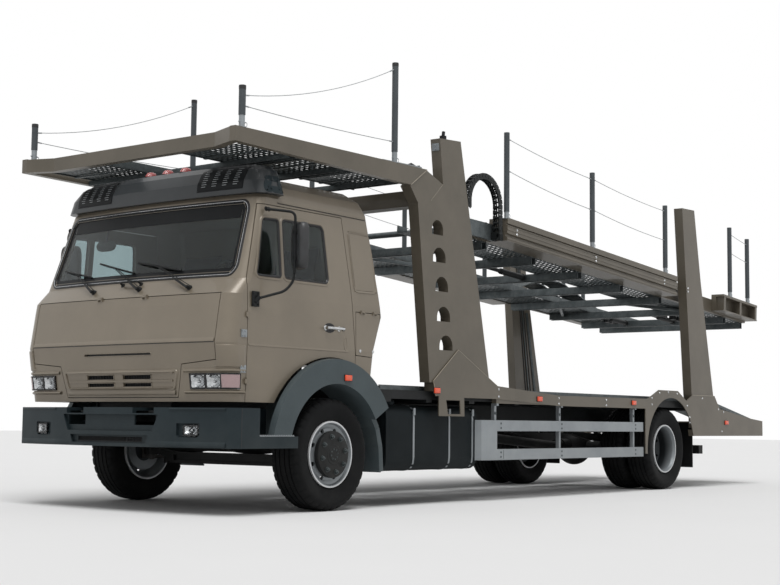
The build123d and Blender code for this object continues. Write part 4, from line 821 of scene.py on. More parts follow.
def ovalPath(ahead, z, halfX, halfZ):
    turns = spread(0, 2 * pi * 23 / 24, 23)
    return [(Vector((ahead + halfX * cos(t), z + halfZ * sin(t))), Vector((cos(t), sin(t)))) for t in turns]


def buildDoorTrim(bm, side, name, part):
    place = sidePlace(("door_" + name, "door_glass_" + name), side)
    for outline in ("quarter", "main"):
        addTrim(bm, softPath(doorLook[outline], 0.028, 0.04), doorLook[part], place)


def buildDoorPress(bm, side, name):
    # Crease across the panel and an oval pressing near its rear
    place = sidePlace(("door_" + name, "cab_shell"), side)
    level = [(Vector((x, doorLook["creaseZ"])), Vector((0, 1))) for x in spread(0.965, -0.20, 30)]
    addTrim(bm, level, doorLook["crease"], place, False)
    addTrim(bm, ovalPath(-0.165, 1.335, 0.020, 0.055), doorLook["oval"], place)


def buildSidePress(bm):
    # The pressed panel behind each door
    for side in (1, -1):
        place = sidePlace(("cab_shell",), side)
        addTrim(bm, softPath(doorLook["sidePress"], 0.045, 0.05), doorLook["pressBead"], place)


makePiece("side_press_beads", "chassis", "bronzePaint", "bronze_paint", buildSidePress)


def buildHandle(bm, side, name):
    front, rear, z = doorLook["handle"]
    for x in (front - 0.02, rear + 0.025):
        foot = onSide(("door_" + name,), x, z, side)
        addRings(bm, foot, (0, side, 0), doorLook["foot"], 16)
    bar = [onSide(("door_" + name,), front + (rear - front) * t, z, side, 0.036 + 0.006 * sin(pi * t))
           for t in spread(0, 1, 8)]
    addPipe(bm, bar, 0.0125, 12)


def buildHandleCup(bm, side, name):
    # The hollow behind the handle, and the lock behind that
    addTrim(bm, ovalPath(0.035, 1.452, 0.062, 0.034), doorLook["cup"], sidePlace(("door_" + name,), side))
    addRings(bm, onSide(("door_" + name,), -0.135, 1.452, side), (0, side, 0), doorLook["lock"], 16)


def buildHingePlates(bm, side):
    # Each plate has four bolts
    for z in doorLook["hinges"]:
        ends = [onSide(("cab_shell",), x, z, side, 0.004) for x in (1.052, 0.992)]
        addBar(bm, *ends, 0.058, 0.008, (0, side, 0))
        for x in (1.040, 1.012):
            for offset in (-0.017, 0.017):
                addBolt(bm, onSide(("cab_shell",), x, z + offset, side, 0.008), (0, side, 0), 0.0055, 0.004)


for side, sideName in sides:
    body = sideName + "_door"
    for name, part, *look in (("door_rubber_", "rubber", "seal", "dark_plastic"),
                              ("door_window_frame_", "frame", "bronzePaint", "bronze_paint")):
        makePiece(name + sideName, body, *look, lambda bm: buildDoorTrim(bm, side, sideName, part))
    makePiece("door_press_" + sideName, body, "bronzePaint", "bronze_paint",
              lambda bm: buildDoorPress(bm, side, sideName))
    makePiece("door_handle_" + sideName, body, "brightSteel", "galvanised",
              lambda bm: buildHandle(bm, side, sideName))
    makePiece("door_handle_cup_" + sideName, body, "seal", "dark_plastic",
              lambda bm: buildHandleCup(bm, side, sideName))
    makePiece("hinge_plates_" + sideName, "chassis", "guardAlloy", "galvanised",
              lambda bm: buildHingePlates(bm, side))

# The shell gives pairs of depth and size, from the glass forward
mirrorLook = {"half": (0.034, 0.094, 0.182), "centre": (0.600, 1.345, 2.045), "turn": 20, "tube": 0.0105, "bend": 0.05,
              "route": [(0.905, 1.190, 1.620), (0.700, 1.302, 1.690), (0.640, 1.336, 1.780), (0.640, 1.336, 2.300),
                        (0.770, 1.150, 2.325)],
              "shell": ((-1.0, 0.90), (-0.98, 0.965), (-0.85, 0.985), (-0.3, 1.0), (0.2, 0.985), (0.6, 0.93),
                        (0.85, 0.83), (0.97, 0.68), (1.0, 0.45))}


def mirrorSpot(side, depth, across, up):
    # Across, up and depth are shares of the head's half sizes
    x, y, z = mirrorLook["centre"]
    halfX, halfY, halfZ = mirrorLook["half"]
    turn = Matrix.Rotation(radians(-mirrorLook["turn"] * side), 4, "Z")
    return spot(x, side * y, z) + turn @ Vector((halfX * depth, halfY * across, halfZ * up))


def mirrorOutline(squareness):
    # A square with soft corners, as pairs of across and up
    outline = []
    for turn in (2 * pi * k / 40 for k in range(40)):
        reach = (abs(cos(turn)) ** squareness + abs(sin(turn)) ** squareness) ** (-1 / squareness)
        outline.append((reach * cos(turn), reach * sin(turn)))
    return outline


def buildMirrorHead(bm, side):
    # A rounded shell, fuller in front, with a rim around the glass behind
    outline = mirrorOutline(5)
    joinRings(bm, [[bm.verts.new(mirrorSpot(side, depth, size * across, (1 - (1 - size) * 0.55) * up))
                    for across, up in outline] for depth, size in mirrorLook["shell"]])


def buildMirrorGlass(bm, side):
    # A shallow cone just behind the shell's rim
    ring = [bm.verts.new(mirrorSpot(side, -1.02, 0.84 * across, 0.88 * up)) for across, up in mirrorOutline(6)]
    hub = bm.verts.new(mirrorSpot(side, -1.06, 0, 0))
    for first, second in zip(ring, ring[1:] + ring[:1]):
        bm.faces.new((first, second, hub))


def buildMirrorArm(bm, side):
    route = [spot(x, side * y, z) for x, y, z in mirrorLook["route"]]
    points = [route[0]]
    for before, here, after in zip(route, route[1:], route[2:]):
        points += rounded(before, here, after, mirrorLook["bend"], 5)
    points.append(route[-1])
    addPipe(bm, points, mirrorLook["tube"], 14)
    x, y, z = mirrorLook["centre"]
    for height in (z + 0.10, z - 0.10):
        addBar(bm, spot(x + 0.010, side * y, height), spot(x + 0.048, side * (y - 0.009), height), 0.040, 0.034)
    foot = spot(0.905, side * 1.186, 1.62)
    addBar(bm, foot + Vector((0, 0, -0.058)), foot + Vector((0, 0, 0.058)), 0.078, 0.010, (0, side, 0))
    for dx in (-0.026, 0.026):
        for dz in (-0.042, 0.042):
            addBolt(bm, foot + Vector((dx, side * 0.005, dz)), (0, side, 0), 0.007, 0.006)
    addBar(bm, foot + Vector((0, 0, -0.02)), foot + Vector((-0.02, side * 0.028, 0.02)), 0.03, 0.03)
    for ahead in (0.740, 0.770):
        addBolt(bm, spot(ahead, side * 1.150, 2.325), (0, side, 0.2), 0.012, 0.016)


for side, sideName in sides:
    head = makePiece("mirror_head_" + sideName, sideName + "_door", "lampBody", "dark_plastic",
                     lambda bm: buildMirrorHead(bm, side), 50)
    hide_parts("mirror_" + sideName)
    makePiece("mirror_arm_" + sideName, sideName + "_door", "blackPaint", "dark_plastic",
              lambda bm: buildMirrorArm(bm, side))
    makePiece("mirror_glass_" + sideName, sideName + "_door", "mirrorGlass", "lamp",
              lambda bm: buildMirrorGlass(bm, side))


def buildRoofSeam(bm, z, section):
    # Along the roof's seam over the doors, which rises a little forward
    for side in (1, -1):
        seam = [(Vector((x, z + (x + 0.56) * 0.008)), Vector((0, 1))) for x in spread(0.60, -0.475, 30)]
        addTrim(bm, seam, section, sidePlace(("cab_shell",), side), False)


makePiece("roof_drip_rails", "chassis", "bronzePaint", "bronze_paint",
          lambda bm: buildRoofSeam(bm, 2.388, [(0.006, -0.0005), (0.004, 0.007), (-0.002, 0.009), (-0.004, 0.001)]))
# A thin dark strip under the drip rail: painted shade in the roof's seam
makePiece("roof_seam_painted_shade", "chassis", "seal", "dark_plastic",
          lambda bm: buildRoofSeam(bm, 2.3815, [(0.004, 0.0007), (-0.003, 0.0007)]))


def buildLockerLatch(bm, side, name):
    for x in (-0.35, -0.52):
        place = onSide(("locker_lid_" + name,), x, 1.285, side)
        addRings(bm, place, (0, side, 0), [(-0.002, 0.013), (0.004, 0.013), (0.007, 0.008)], 16)


for side, sideName in sides:
    makePiece("locker_latches_" + sideName, sideName + "_locker_lid", "brightSteel", "galvanised",
              lambda bm: buildLockerLatch(bm, side, sideName))

# Sun visor: slotted black panels, bolted end caps and three roof lamps

visorLook = {"columns": (0.548, 0.655, 0.762, 0.869), "slotWidth": 0.052, "rows": 8, "low": 2.532, "high": 2.660,
             "lamps": (-0.205, 0.0, 0.205), "lampAhead": 0.722, "lens": (0.006, (0.056, 0.034, 0.042)),
             "foot": (-0.004, (0.064, 0.041, 0.014)),
             "cap": [(0.582, 2.462), (0.770, 2.462), (0.770, 2.520), (0.735, 2.600), (0.600, 2.600)],
             "capSection": [(-0.05, 0.0045), (-0.006, 0.0045), (0.0, 0.0035), (0.003, -0.001)]}


def buildVisorPanels(bm):
    # Black sheets with turned-down edges
    for side in (1, -1):
        place = lambda y, z, proud: onFront(("sun_visor", "cab_shell"), side * y, z, proud)
        edge = lambda y, z: 0.005 if 0.505 < y < 0.965 and 2.50 < z < 2.675 else 0.0006
        addPatch(bm, place, [0.50, 0.504, 0.508] + spread(0.53, 0.94, 14) + [0.962, 0.966, 0.970],
                 [2.490, 2.498, 2.504] + spread(2.52, 2.66, 7) + [2.672, 2.677, 2.680], edge)


makePiece("visor_black_panels", "chassis", "glossBlack", "dark_plastic", buildVisorPanels)


def buildVisorSlots(bm):
    look = visorLook
    for side in (1, -1):
        place = lambda y, z, proud: onFront(("sun_visor", "cab_shell"), side * y, z, proud)
        for column in look["columns"]:
            for row, z in enumerate(spread(look["low"], look["high"], look["rows"] - 1)):
                wide = look["slotWidth"] * (1.0 if row % 2 else 0.82)
                addPatch(bm, place, spread(column, column + wide, 3), (z - 0.0030, z - 0.0010, z + 0.0022),
                         lambda y, z: 0.0062)


makePiece("visor_slots", "chassis", "slotGrey", "dark_plastic", buildVisorSlots)


def buildVisorCaps(bm):
    for side in (1, -1):
        place = sidePlace(("sun_visor", "cab_shell"), side)
        addTrim(bm, softPath(visorLook["cap"], 0.03), visorLook["capSection"], place)
        for x in (0.630, 0.715):
            addBolt(bm, onSide(("sun_visor", "cab_shell"), x, 2.492, side, 0.004), (0, side, 0), 0.008, 0.006)


makePiece("visor_end_caps", "chassis", "darkPlastic", "dark_plastic", buildVisorCaps)


def addDome(bm, centre, size):
    # A blunt dome that leans back as it rises; size gives its half length, half width and height
    long, wide, tall = size
    rows, parts = 6, 20
    rings = []
    for row in range(rows):
        lift = row / rows * pi / 2
        taper = cos(lift) ** 0.6
        rings.append([bm.verts.new(Vector(centre) + Vector((long * taper * cos(turn) - long * 0.25 * sin(lift),
                                                            wide * taper * sin(turn), tall * sin(lift))))
                      for turn in (2 * pi * k / parts for k in range(parts))])
    joinRings(bm, rings, capped=False)
    bm.faces.new(rings[-1])


def buildRoofLamps(bm, part):
    rise, size = visorLook[part]
    for y in visorLook["lamps"]:
        top = meet(("sun_visor",), spot(visorLook["lampAhead"], y, 3.0), Vector((0, 0, -1)))
        addDome(bm, top + Vector((0, 0, rise)), size)


makePiece("roof_lamp_lenses", "chassis", "redLens", "red_lamp", lambda bm: buildRoofLamps(bm, "lens"), 60)
makePiece("roof_lamp_feet", "chassis", "seal", "dark_plastic", lambda bm: buildRoofLamps(bm, "foot"), 60)

# Bumper: end seams, soft lower lip, toothed mesh in the lower opening and step treads


def buildBumperSeams(bm):
    for side in (1, -1):
        place = sidePlace(("front_bumper",), side)
        addTrim(bm, [(Vector((1.094, z)), Vector((1, 0))) for z in spread(0.512, 0.792, 8)],
                [(0.003, 0.0006), (-0.003, 0.0006)], place, False)


makePiece("bumper_seams", "chassis", "seal", "dark_plastic", buildBumperSeams)


# Rows give each height and how far the lip stands out there
bumperLook = {"lowerRows": {0.546: 0.0, 0.536: 0.55, 0.520: 1.0, 0.508: 0.8, 0.503: -0.2}, "lipProud": 0.010,
              "upperRows": {0.798: -0.001, 0.790: 0.006, 0.782: 0.006, 0.772: 0.0},
              "meshPitch": 0.016, "meshHalf": 0.368, "treadY": 1.085, "treadRows": 5, "treadPitch": 0.0345,
              "teeth": (0.535, 0.0245, 15), "edgeY": 1.2445, "edgeTeeth": (0.520, 0.0195, 21)}


def buildBumperLip(bm):
    lower, upper = bumperLook["lowerRows"], bumperLook["upperRows"]
    for side in (1, -1):
        place = lambda y, z, proud: onFront(("front_bumper",), side * y, z, proud)
        addPatch(bm, place, spread(0.47, 1.175, 26), list(lower),
                 lambda y, z: lower[z] * bumperLook["lipProud"] * min(1, (y - 0.46) / 0.2))
        addPatch(bm, place, spread(0.66, 1.17, 20), list(upper), lambda y, z: upper[z])


makePiece("bumper_lip", "chassis", "darkPlastic", "dark_plastic", buildBumperLip)


def buildBumperMesh(bm):
    half = bumperLook["meshHalf"]
    for y in spread(-half, half, round(2 * half / bumperLook["meshPitch"])):
        x = onFront(("front_bumper",), y, 0.5295).x
        addBar(bm, (x - 0.016, y, 0.536), (x - 0.016, y, 0.574), 0.0035, 0.010, (1, 0, 0))
        addBar(bm, (x - 0.004, y, 0.5365), (x - 0.004, y, 0.5425), 0.009, 0.008, (1, 0, 0))
    for z in (0.5465, 0.556, 0.5655):
        points = [Vector((onFront(("front_bumper",), y, 0.5295).x - 0.016, y, z)) for y in spread(-0.369, 0.369, 14)]
        addPipe(bm, points, 0.0018, 6)


makePiece("bumper_mesh", "chassis", "seal", "dark_plastic", buildBumperMesh)


def addTeeth(bm, y, z, row, long, wide, high):
    # A row gives the first tooth's place ahead, the pitch and the number of teeth
    first, pitch, count = row
    for x in (first + pitch * k for k in range(count)):
        addBar(bm, spot(x, y, z), spot(x + long, y, z), wide, high)


def buildTreads(bm):
    look = bumperLook
    for side in (1, -1):
        for row in range(look["treadRows"]):
            y = side * (look["treadY"] + look["treadPitch"] * row)
            addBar(bm, spot(0.525, y, 0.577), spot(0.885, y, 0.577), 0.016, 0.006)
            addTeeth(bm, y, 0.578, look["teeth"], 0.012, 0.012, 0.020)
        y = side * look["edgeY"]
        addBar(bm, spot(0.512, y, 0.588), spot(0.925, y, 0.588), 0.009, 0.014)
        addTeeth(bm, y, 0.596, look["edgeTeeth"], 0.010, 0.009, 0.012)


makePiece("step_treads", "chassis", "guardAlloy", "galvanised", buildTreads)
print("doors, visor and bumper made")

# Over-cab deck and main deck: perforated runways, rams, bolts and flutes

# Holes are half lengths and half widths; the hump gives its top's places along the deck and heights over it.
# Flutes: height and width. Braces: two places along, two y. Rams: both ends and the radius of a rod or a barrel.
deckLook = {"turn": 4.15, "pivot": (-2.0, 2.5), "plate": 0.003,
            "cabPitch": (0.062, 0.057), "cabHole": (0.021, 0.0115), "cabLevel": 2.806, "cabSpan": (-1.15, 1.0),
            "pitch": (0.074, 0.062), "hole": (0.026, 0.0125), "level": -0.036, "span": (-6.225, 0.2),
            "inner": 0.442, "outer": 0.9995, "cabMembers": (-0.86, -0.17, 0.52),
            "members": (-0.42, -1.30, -2.20, -3.10, -4.00, -4.90, -5.70, -6.18),
            "hump": ((-3.10, -0.035), (-3.65, 0.170), (-3.90, 0.214), (-4.15, 0.235), (-4.30, 0.222),
                     (-4.45, 0.180), (-5.45, -0.035)), "humpThick": 0.012, "rungs": 0.12,
            "flutes": ((0.0900, 0.007), (0.0545, 0.012), (0.0185, 0.004), (-0.0335, 0.012)),
            "fluteSpan": (-0.437, -3.930), "boltsAlong": (-0.60, -2.10, -3.62, -4.20), "boltHeights": (0.074, 0.035),
            "cabSlats": (-1.0, -0.66, -0.40, 0.10, 0.30, 0.75),
            "braces": ((-0.46, -1.26, 0.66, 0.30), (-4.05, -4.86, 0.36, 0.80)),
            "rams": ((-1.36, -1.72, 0.020), (-1.72, -2.15, 0.032), (-4.96, -5.25, 0.018), (-5.25, -5.64, 0.030)),
            "ramY": 0.33}
deckTurn = radians(deckLook["turn"])
pivot = spot(deckLook["pivot"][0], 0, deckLook["pivot"][1])


def deckSpot(along, y, height):
    # A place by its distances along and above the main deck, from the pivot
    return Vector((pivot.x + along * cos(deckTurn) - height * sin(deckTurn), y,
                   pivot.z + along * sin(deckTurn) + height * cos(deckTurn)))


def addPerforated(bm, place, along, across, height, thickness, pitch, hole):
    # A plate of cells with one slotted hole in each
    columns = max(1, round((along[1] - along[0]) / pitch[0]))
    rows = max(1, round((across[1] - across[0]) / pitch[1]))
    stepU, stepV = (along[1] - along[0]) / columns, (across[1] - across[0]) / rows
    edge = ((-1, -1), (0, -1), (1, -1), (1, 0), (1, 1), (0, 1), (-1, 1), (-1, 0))
    for column in range(columns):
        for row in range(rows):
            u = along[0] + stepU * (column + 0.5)
            v = across[0] + stepV * (row + 0.5)
            rim = [(a * hole[0] * (0.7 if a and b else 1), b * hole[1] * (0.85 if a and b else 1)) for a, b in edge]
            sheets = []
            for level in (height, height - thickness):
                outer = [bm.verts.new(place(u + a * stepU / 2, v + b * stepV / 2, level)) for a, b in edge]
                inner = [bm.verts.new(place(u + a, v + b, level)) for a, b in rim]
                sheets.append((outer, inner))
            for k in range(8):
                j = (k + 1) % 8
                (outer, inner), (under, innerUnder) = sheets
                bm.faces.new((outer[k], outer[j], inner[j], inner[k]))
                bm.faces.new((under[j], under[k], innerUnder[k], innerUnder[j]))
                bm.faces.new((inner[k], inner[j], innerUnder[j], innerUnder[k]))
    bmesh.ops.remove_doubles(bm, verts=bm.verts, dist=0.0004)


def buildCabRunways(bm):
    look = deckLook
    rear, front = look["cabSpan"]
    for side in (1, -1):
        across = sorted((side * 0.4425, side * 1.129))
        addPerforated(bm, spot, look["cabSpan"], across, look["cabLevel"], look["plate"], look["cabPitch"],
                      look["cabHole"])
        addBar(bm, spot(rear, side * 0.436, 2.829), spot(front, side * 0.436, 2.829), 0.011, 0.069)
        addBar(bm, spot(rear, side * 1.127, 2.800), spot(front, side * 1.127, 2.800), 0.012, 0.014)
        for ahead in look["cabSlats"]:
            addBar(bm, spot(ahead, side * 0.45, 2.789), spot(ahead, side * 1.125, 2.789), 0.030, 0.012)
    for ahead in look["cabMembers"]:  # folded cross members: two webs under a flat top
        for offset in (-0.031, 0.031):
            addBar(bm, spot(ahead + offset, -1.188, 2.7725), spot(ahead + offset, 1.188, 2.7725), 0.008, 0.043)
        addBar(bm, spot(ahead, -1.188, 2.790), spot(ahead, 1.188, 2.790), 0.066, 0.008)


runways = makePiece("cab_deck_perforated", "chassis", "zincDark", "galvanised", buildCabRunways, 30)
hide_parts("cab_deck_runways")


def addLevelBar(bm, fromAlong, toAlong, fromY, toY, height, wide, high):
    addBar(bm, deckSpot(fromAlong, fromY, height), deckSpot(toAlong, toY, height), wide, high)


def addHump(bm, side):
    # Two curved plates over the runway with flat rungs across both
    look = deckLook
    for across in ((0.444, 0.700), (0.740, look["outer"])):
        near, far = sorted(side * y for y in across)
        joinRings(bm, [[bm.verts.new(deckSpot(along, y, height - drop)) for y, drop in
                        ((near, 0), (far, 0), (far, look["humpThick"]), (near, look["humpThick"]))]
                       for along, height in look["hump"]], capped=False)
    for (fromAlong, fromHeight), (toAlong, toHeight) in zip(look["hump"], look["hump"][1:]):
        steps = max(1, round((fromAlong - toAlong) / look["rungs"]))
        for k in range(steps):
            along = fromAlong + (toAlong - fromAlong) * (k + 0.5) / steps
            height = fromHeight + (toHeight - fromHeight) * (k + 0.5) / steps - 0.006
            addLevelBar(bm, along, along, side * 0.446, side * look["outer"], height, 0.022, 0.014)


def buildDeckRunways(bm):
    look = deckLook
    outer = look["outer"]
    for side in (1, -1):
        across = sorted((side * look["inner"], side * outer))
        addPerforated(bm, deckSpot, look["span"], across, look["level"], look["plate"], look["pitch"], look["hole"])
        for rear, front in ((look["span"][0], -0.060), (0.060, look["span"][1])):
            addLevelBar(bm, rear, front, side * 0.436, side * 0.436, 0.0, 0.011, 0.070)
        addHump(bm, side)
    for along in look["members"]:  # folded cross members with a lip below
        for offset in (-0.036, 0.036):
            addLevelBar(bm, along + offset, along + offset, -outer, outer, -0.0835, 0.008, 0.074)
        addLevelBar(bm, along, along, -outer, outer, -0.050, 0.074, 0.008)
        addLevelBar(bm, along - 0.02, along - 0.02, -outer, outer, -0.118, 0.038, 0.006)
    for side in (1, -1):
        for fromAlong, toAlong, fromY, toY in look["braces"]:
            addLevelBar(bm, fromAlong, toAlong, side * fromY, side * toY, -0.072, 0.035, 0.035)


runways = makePiece("deck_perforated", "main_deck", "zinc", "galvanised", buildDeckRunways, 30)
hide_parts("deck_runways")


def buildDeckRams(bm):
    # Two hydraulic rams a side with a hose, tucked between the deck's cross members
    for side in (1, -1):
        for start, end, radius in deckLook["rams"]:
            first, last = (deckSpot(along, side * deckLook["ramY"], -0.080) for along in (start, end))
            addPipe(bm, [first, last], radius, 16)
            addPipe(bm, [last - (last - first).normalized() * 0.02, last], radius + 0.007, 16)
        hose = [deckSpot(-5.60 + 0.06 * k, side * (0.42 + 0.035 * sin(k * 1.3)), -0.085 - 0.012 * sin(k * 0.9))
                for k in range(9)]
        addPipe(bm, hose, 0.009, 8)
        for along in (-5.35, -5.47):
            addLevelBar(bm, along, along - 0.08, side * 0.46, side * 0.46, -0.075, 0.06, 0.05)


makePiece("deck_rams", "main_deck", "blackPaint", "black_paint", buildDeckRams)


def buildDeckBolts(bm):
    for side in (1, -1):
        for along in deckLook["boltsAlong"]:
            for height in deckLook["boltHeights"]:
                addBolt(bm, deckSpot(along, side * 1.2495, height), (0, side, 0), 0.008)


makePiece("deck_beam_bolts", "main_deck", "brightSteel", "galvanised", buildDeckBolts)


def buildFlutes(bm):
    # Fine ridges along the beams' outer faces
    for side in (1, -1):
        for height, high in deckLook["flutes"]:
            addLevelBar(bm, *deckLook["fluteSpan"], side * 1.2505, side * 1.2505, height, 0.008, high)


makePiece("deck_beam_flutes", "main_deck", "deckPaint", "bronze_paint", buildFlutes)

# Rails: zinc feet with pins, and the wires between the posts

# Deck posts: place along the deck, y, and the upper and lower wires' heights over the beam.
# Deck wires: the posts at both ends and the sag. Cab wires: height in front, height behind and sag.
# The caps give each cab post's place and top.
railLook = {"deckPosts": ((-0.455, 1.22, 0.760, 0.455), (-2.065, 1.22, 0.715, 0.395), (-3.690, 1.22, 0.700, 0.370),
                          (-5.480, 1.175, 0.770, 0.540), (-5.990, 1.175, 0.730, 0.505)),
            "deckWires": ((0, 1, 0.018), (1, 2, 0.018), (3, 4, 0.004)), "beamTop": 0.168,
            "cabWires": ((3.136, 3.700, 0.075), (3.055, 3.080, 0.012)), "cabY": 1.22,
            "caps": ((1.128, 3.208), (-0.735, 3.765)), "wire": 0.0032, "ferrule": 0.006}


def addFoot(bm, foot, side):
    # A sleeve on a flange, with a pin through it and the pin's ring
    addRings(bm, foot, (0, 0, 1), [(0, 0.0232), (0.096, 0.0232), (0.0965, 0.0205)], 20)
    addRings(bm, foot, (0, 0, 1), [(0, 0.034), (0.006, 0.034), (0.010, 0.025)], 20)
    pin = foot + Vector((0, 0, 0.042))
    addPipe(bm, [pin + Vector((-0.036, 0, 0)), pin + Vector((0.034, 0, 0))], 0.0055, 8)
    ring = [pin + Vector((-0.036 - 0.017 * sin(turn), side * 0.004, 0.017 * cos(turn) - 0.012))
            for turn in spread(0, 2 * pi, 14)]
    addPipe(bm, ring, 0.0024, 6)


def buildCabFeet(bm):
    for side in (1, -1):
        for ahead, _ in railLook["caps"]:
            deckTop = meet(("cab_deck_frame",), spot(ahead + 0.045, side * railLook["cabY"], 3.4), Vector((0, 0, -1))).z
            addFoot(bm, spot(ahead, side * railLook["cabY"], deckTop - 0.002), side)


def buildDeckFeet(bm):
    for side in (1, -1):
        for along, y, *_ in railLook["deckPosts"]:
            foot = deckSpot(along, side * y, railLook["beamTop"]) - Vector((0, 0, 0.006))
            addFoot(bm, foot, side)
            addRings(bm, foot, (0, 0, 1), [(0.05, 0.0225), (0.066, 0.0225)], 20)


makePiece("cab_rail_feet", "chassis", "guardAlloy", "galvanised", buildCabFeet)
makePiece("deck_rail_feet", "main_deck", "guardAlloy", "galvanised", buildDeckFeet)


def addWire(bm, start, end, sag):
    # A wire between two posts with a crimped ferrule at each end
    points = [start.lerp(end, t) - Vector((0, 0, sag * 4 * t * (1 - t))) for t in spread(0, 1, 14)]
    addPipe(bm, points, railLook["wire"], 6)
    for tip, inward in ((points[0], points[1]), (points[-1], points[-2])):
        addPipe(bm, [tip, tip.lerp(inward, 0.35)], railLook["ferrule"], 8)


def buildCabWires(bm):
    for side in (1, -1):
        y = side * railLook["cabY"]
        for frontZ, rearZ, sag in railLook["cabWires"]:
            addWire(bm, spot(1.101, y, frontZ), spot(-0.708, y, rearZ), sag)


def buildDeckWires(bm):
    posts = railLook["deckPosts"]
    for side in (1, -1):
        for first, last, sag in railLook["deckWires"]:
            for level in (2, 3):
                start, end = (deckSpot(posts[k][0], side * posts[k][1], railLook["beamTop"])
                              + Vector((shift, 0, posts[k][level])) for k, shift in ((first, -0.027), (last, 0.027)))
                addWire(bm, start, end, sag)


makePiece("cab_rail_wires", "chassis", "wireSteel", "galvanised", buildCabWires)
makePiece("deck_rail_wires", "main_deck", "wireSteel", "galvanised", buildDeckWires)


def buildPostCaps(bm):
    for side in (1, -1):
        for ahead, top in railLook["caps"]:
            addRings(bm, spot(ahead, side * railLook["cabY"], top - 0.030), (0, 0, 1),
                     [(0, 0.0283), (0.026, 0.0283), (0.0295, 0.022)], 20)


makePiece("cab_post_caps", "chassis", "seal", "dark_plastic", buildPostCaps)

# Energy chain: side links with gaps and cross bars along its loop

chainLook = {"rear": -2.368, "front": -1.858, "low": 2.430, "crown": 2.728, "radius": 0.255, "pitch": 0.046,
             "outer": 1.223, "inner": 1.147, "height": 0.056, "plate": 0.010, "halfLink": 0.0215}


def chainPath():
    # Up behind, around the crown and a little down in front; each place comes with its direction
    look = chainLook
    low, crown, radius = look["low"], look["crown"], look["radius"]
    steps = round((crown - low) / look["pitch"])
    points = [(Vector((look["rear"], z)), Vector((0, 1))) for z in spread(low, crown, steps)[:-1]]
    middle = (look["rear"] + look["front"]) / 2
    for angle in spread(pi, 0, round(pi * radius / look["pitch"])):
        points.append((Vector((middle + radius * cos(angle), crown + radius * sin(angle))),
                       Vector((sin(angle), -cos(angle)))))
    return points + [(Vector((look["front"], crown - look["pitch"] * 0.9)), Vector((0, -1)))]


def buildChain(bm):
    look = chainLook
    for place, way in chainPath():
        x, z = place
        for y in (look["outer"] - look["plate"] / 2, look["inner"] + look["plate"] / 2):
            start, end = (spot(x + way.x * half, y, z + way.y * half) for half in (-look["halfLink"], look["halfLink"]))
            addBar(bm, start, end, look["plate"], look["height"], (way.y, 0, -way.x))
        normal = Vector((way.y, 0, -way.x))
        for level in (0.024, -0.024):
            start, end = (spot(x, y, z) + normal * level for y in (look["inner"], look["outer"]))
            addBar(bm, start, end, 0.015, 0.006, normal)
        joint = spot(x + way.x * 0.023, 0, z + way.y * 0.023)
        for y in (look["outer"], look["inner"] - 0.002):
            addRings(bm, joint + Vector((0, y, 0)), (0, 1, 0), [(-0.001, 0.012), (0.002, 0.012)], 12)
    for offset in (-0.012, 0.012):
        points = [spot(place.x, 1.185 + offset, place.y) for place, _ in chainPath()]
        addPipe(bm, points, 0.008, 8)
    addSlab(bm, spot(-2.399, 1.127, 2.422), spot(-2.337, 1.187, 2.490), 0.004)
    for ahead in spread(-2.392, -2.344, 4):
        addBar(bm, spot(ahead, 1.2265, 2.415), spot(ahead, 1.2265, 2.470), 0.007, 0.004, (0, 1, 0))


chain = makePiece("energy_chain_links", "lift", "chainPlastic", "chain", buildChain)
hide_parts("energy_chain")

# Platform and posts: weld beads, bolts, marker lamps and small fittings

# Each line: its places as (ahead, z), y, the bead's radius and its number of faces
weldLines = (([(-1.280, 1.067), (-1.652, 1.352), (-2.275, 1.050)], 1.2485, 0.0035, 8),
             ([(-1.280, 1.067), (-1.318, 0.938)], 1.2485, 0.0035, 8),
             ([(-6.283, 1.052), (-6.857, 1.052), (-6.990, 0.904)], 1.2485, 0.0035, 8),
             ([(-1.163, 2.900), (-0.932, 2.738)], 1.2455, 0.006, 8),
             ([(-1.414, 2.808), (-1.236, 2.640)], 1.239, 0.002, 6))


# Beads along the seams and the gussets' edges, in a paler paint: partly weld, partly a painted highlight on the edges
def buildWelds(bm):
    for side in (1, -1):
        for line, y, radius, parts in weldLines:
            addPipe(bm, [spot(x, side * y, z) for x, z in line], radius, parts)


makePiece("weld_beads_highlighted", "chassis", "weldPaintWithHighlight", "bronze_paint", buildWelds)

# Each place: ahead, z
sillBolts = ((-2.300, 1.020), (-2.300, 0.952), (-5.300, 1.000), (-5.300, 0.930), (-5.480, 1.060), (-5.690, 1.070),
             (-5.900, 1.060), (-6.150, 0.930), (-6.210, 0.800), (-6.210, 0.740), (-6.540, 1.020), (-6.960, 0.900),
             (-7.050, 0.640), (-7.100, 0.870), (-3.363, 0.960), (-3.363, 0.905), (-4.300, 0.960), (-4.300, 0.905))


def buildSillBolts(bm):
    for side in (1, -1):
        for ahead, z in sillBolts:
            addBolt(bm, spot(ahead, side * 1.2495, z), (0, side, 0), 0.0075)


makePiece("sill_bolts", "chassis", "brightSteel", "galvanised", buildSillBolts)

# Each place: ahead, z, and y of the face that carries it; the lens gives pairs of size and how far it stands out
markerLook = {"places": ((-0.119, 1.057, 1.248), (-1.325, 0.985, 1.250), (-3.000, 0.945, 1.250), (-4.880, 0.940, 1.250),
                         (-7.165, 0.745, 1.250)),
              "half": (0.042, 0.023), "lens": ((1.0, 0.004), (1.0, 0.012), (0.86, 0.017), (0.55, 0.019))}


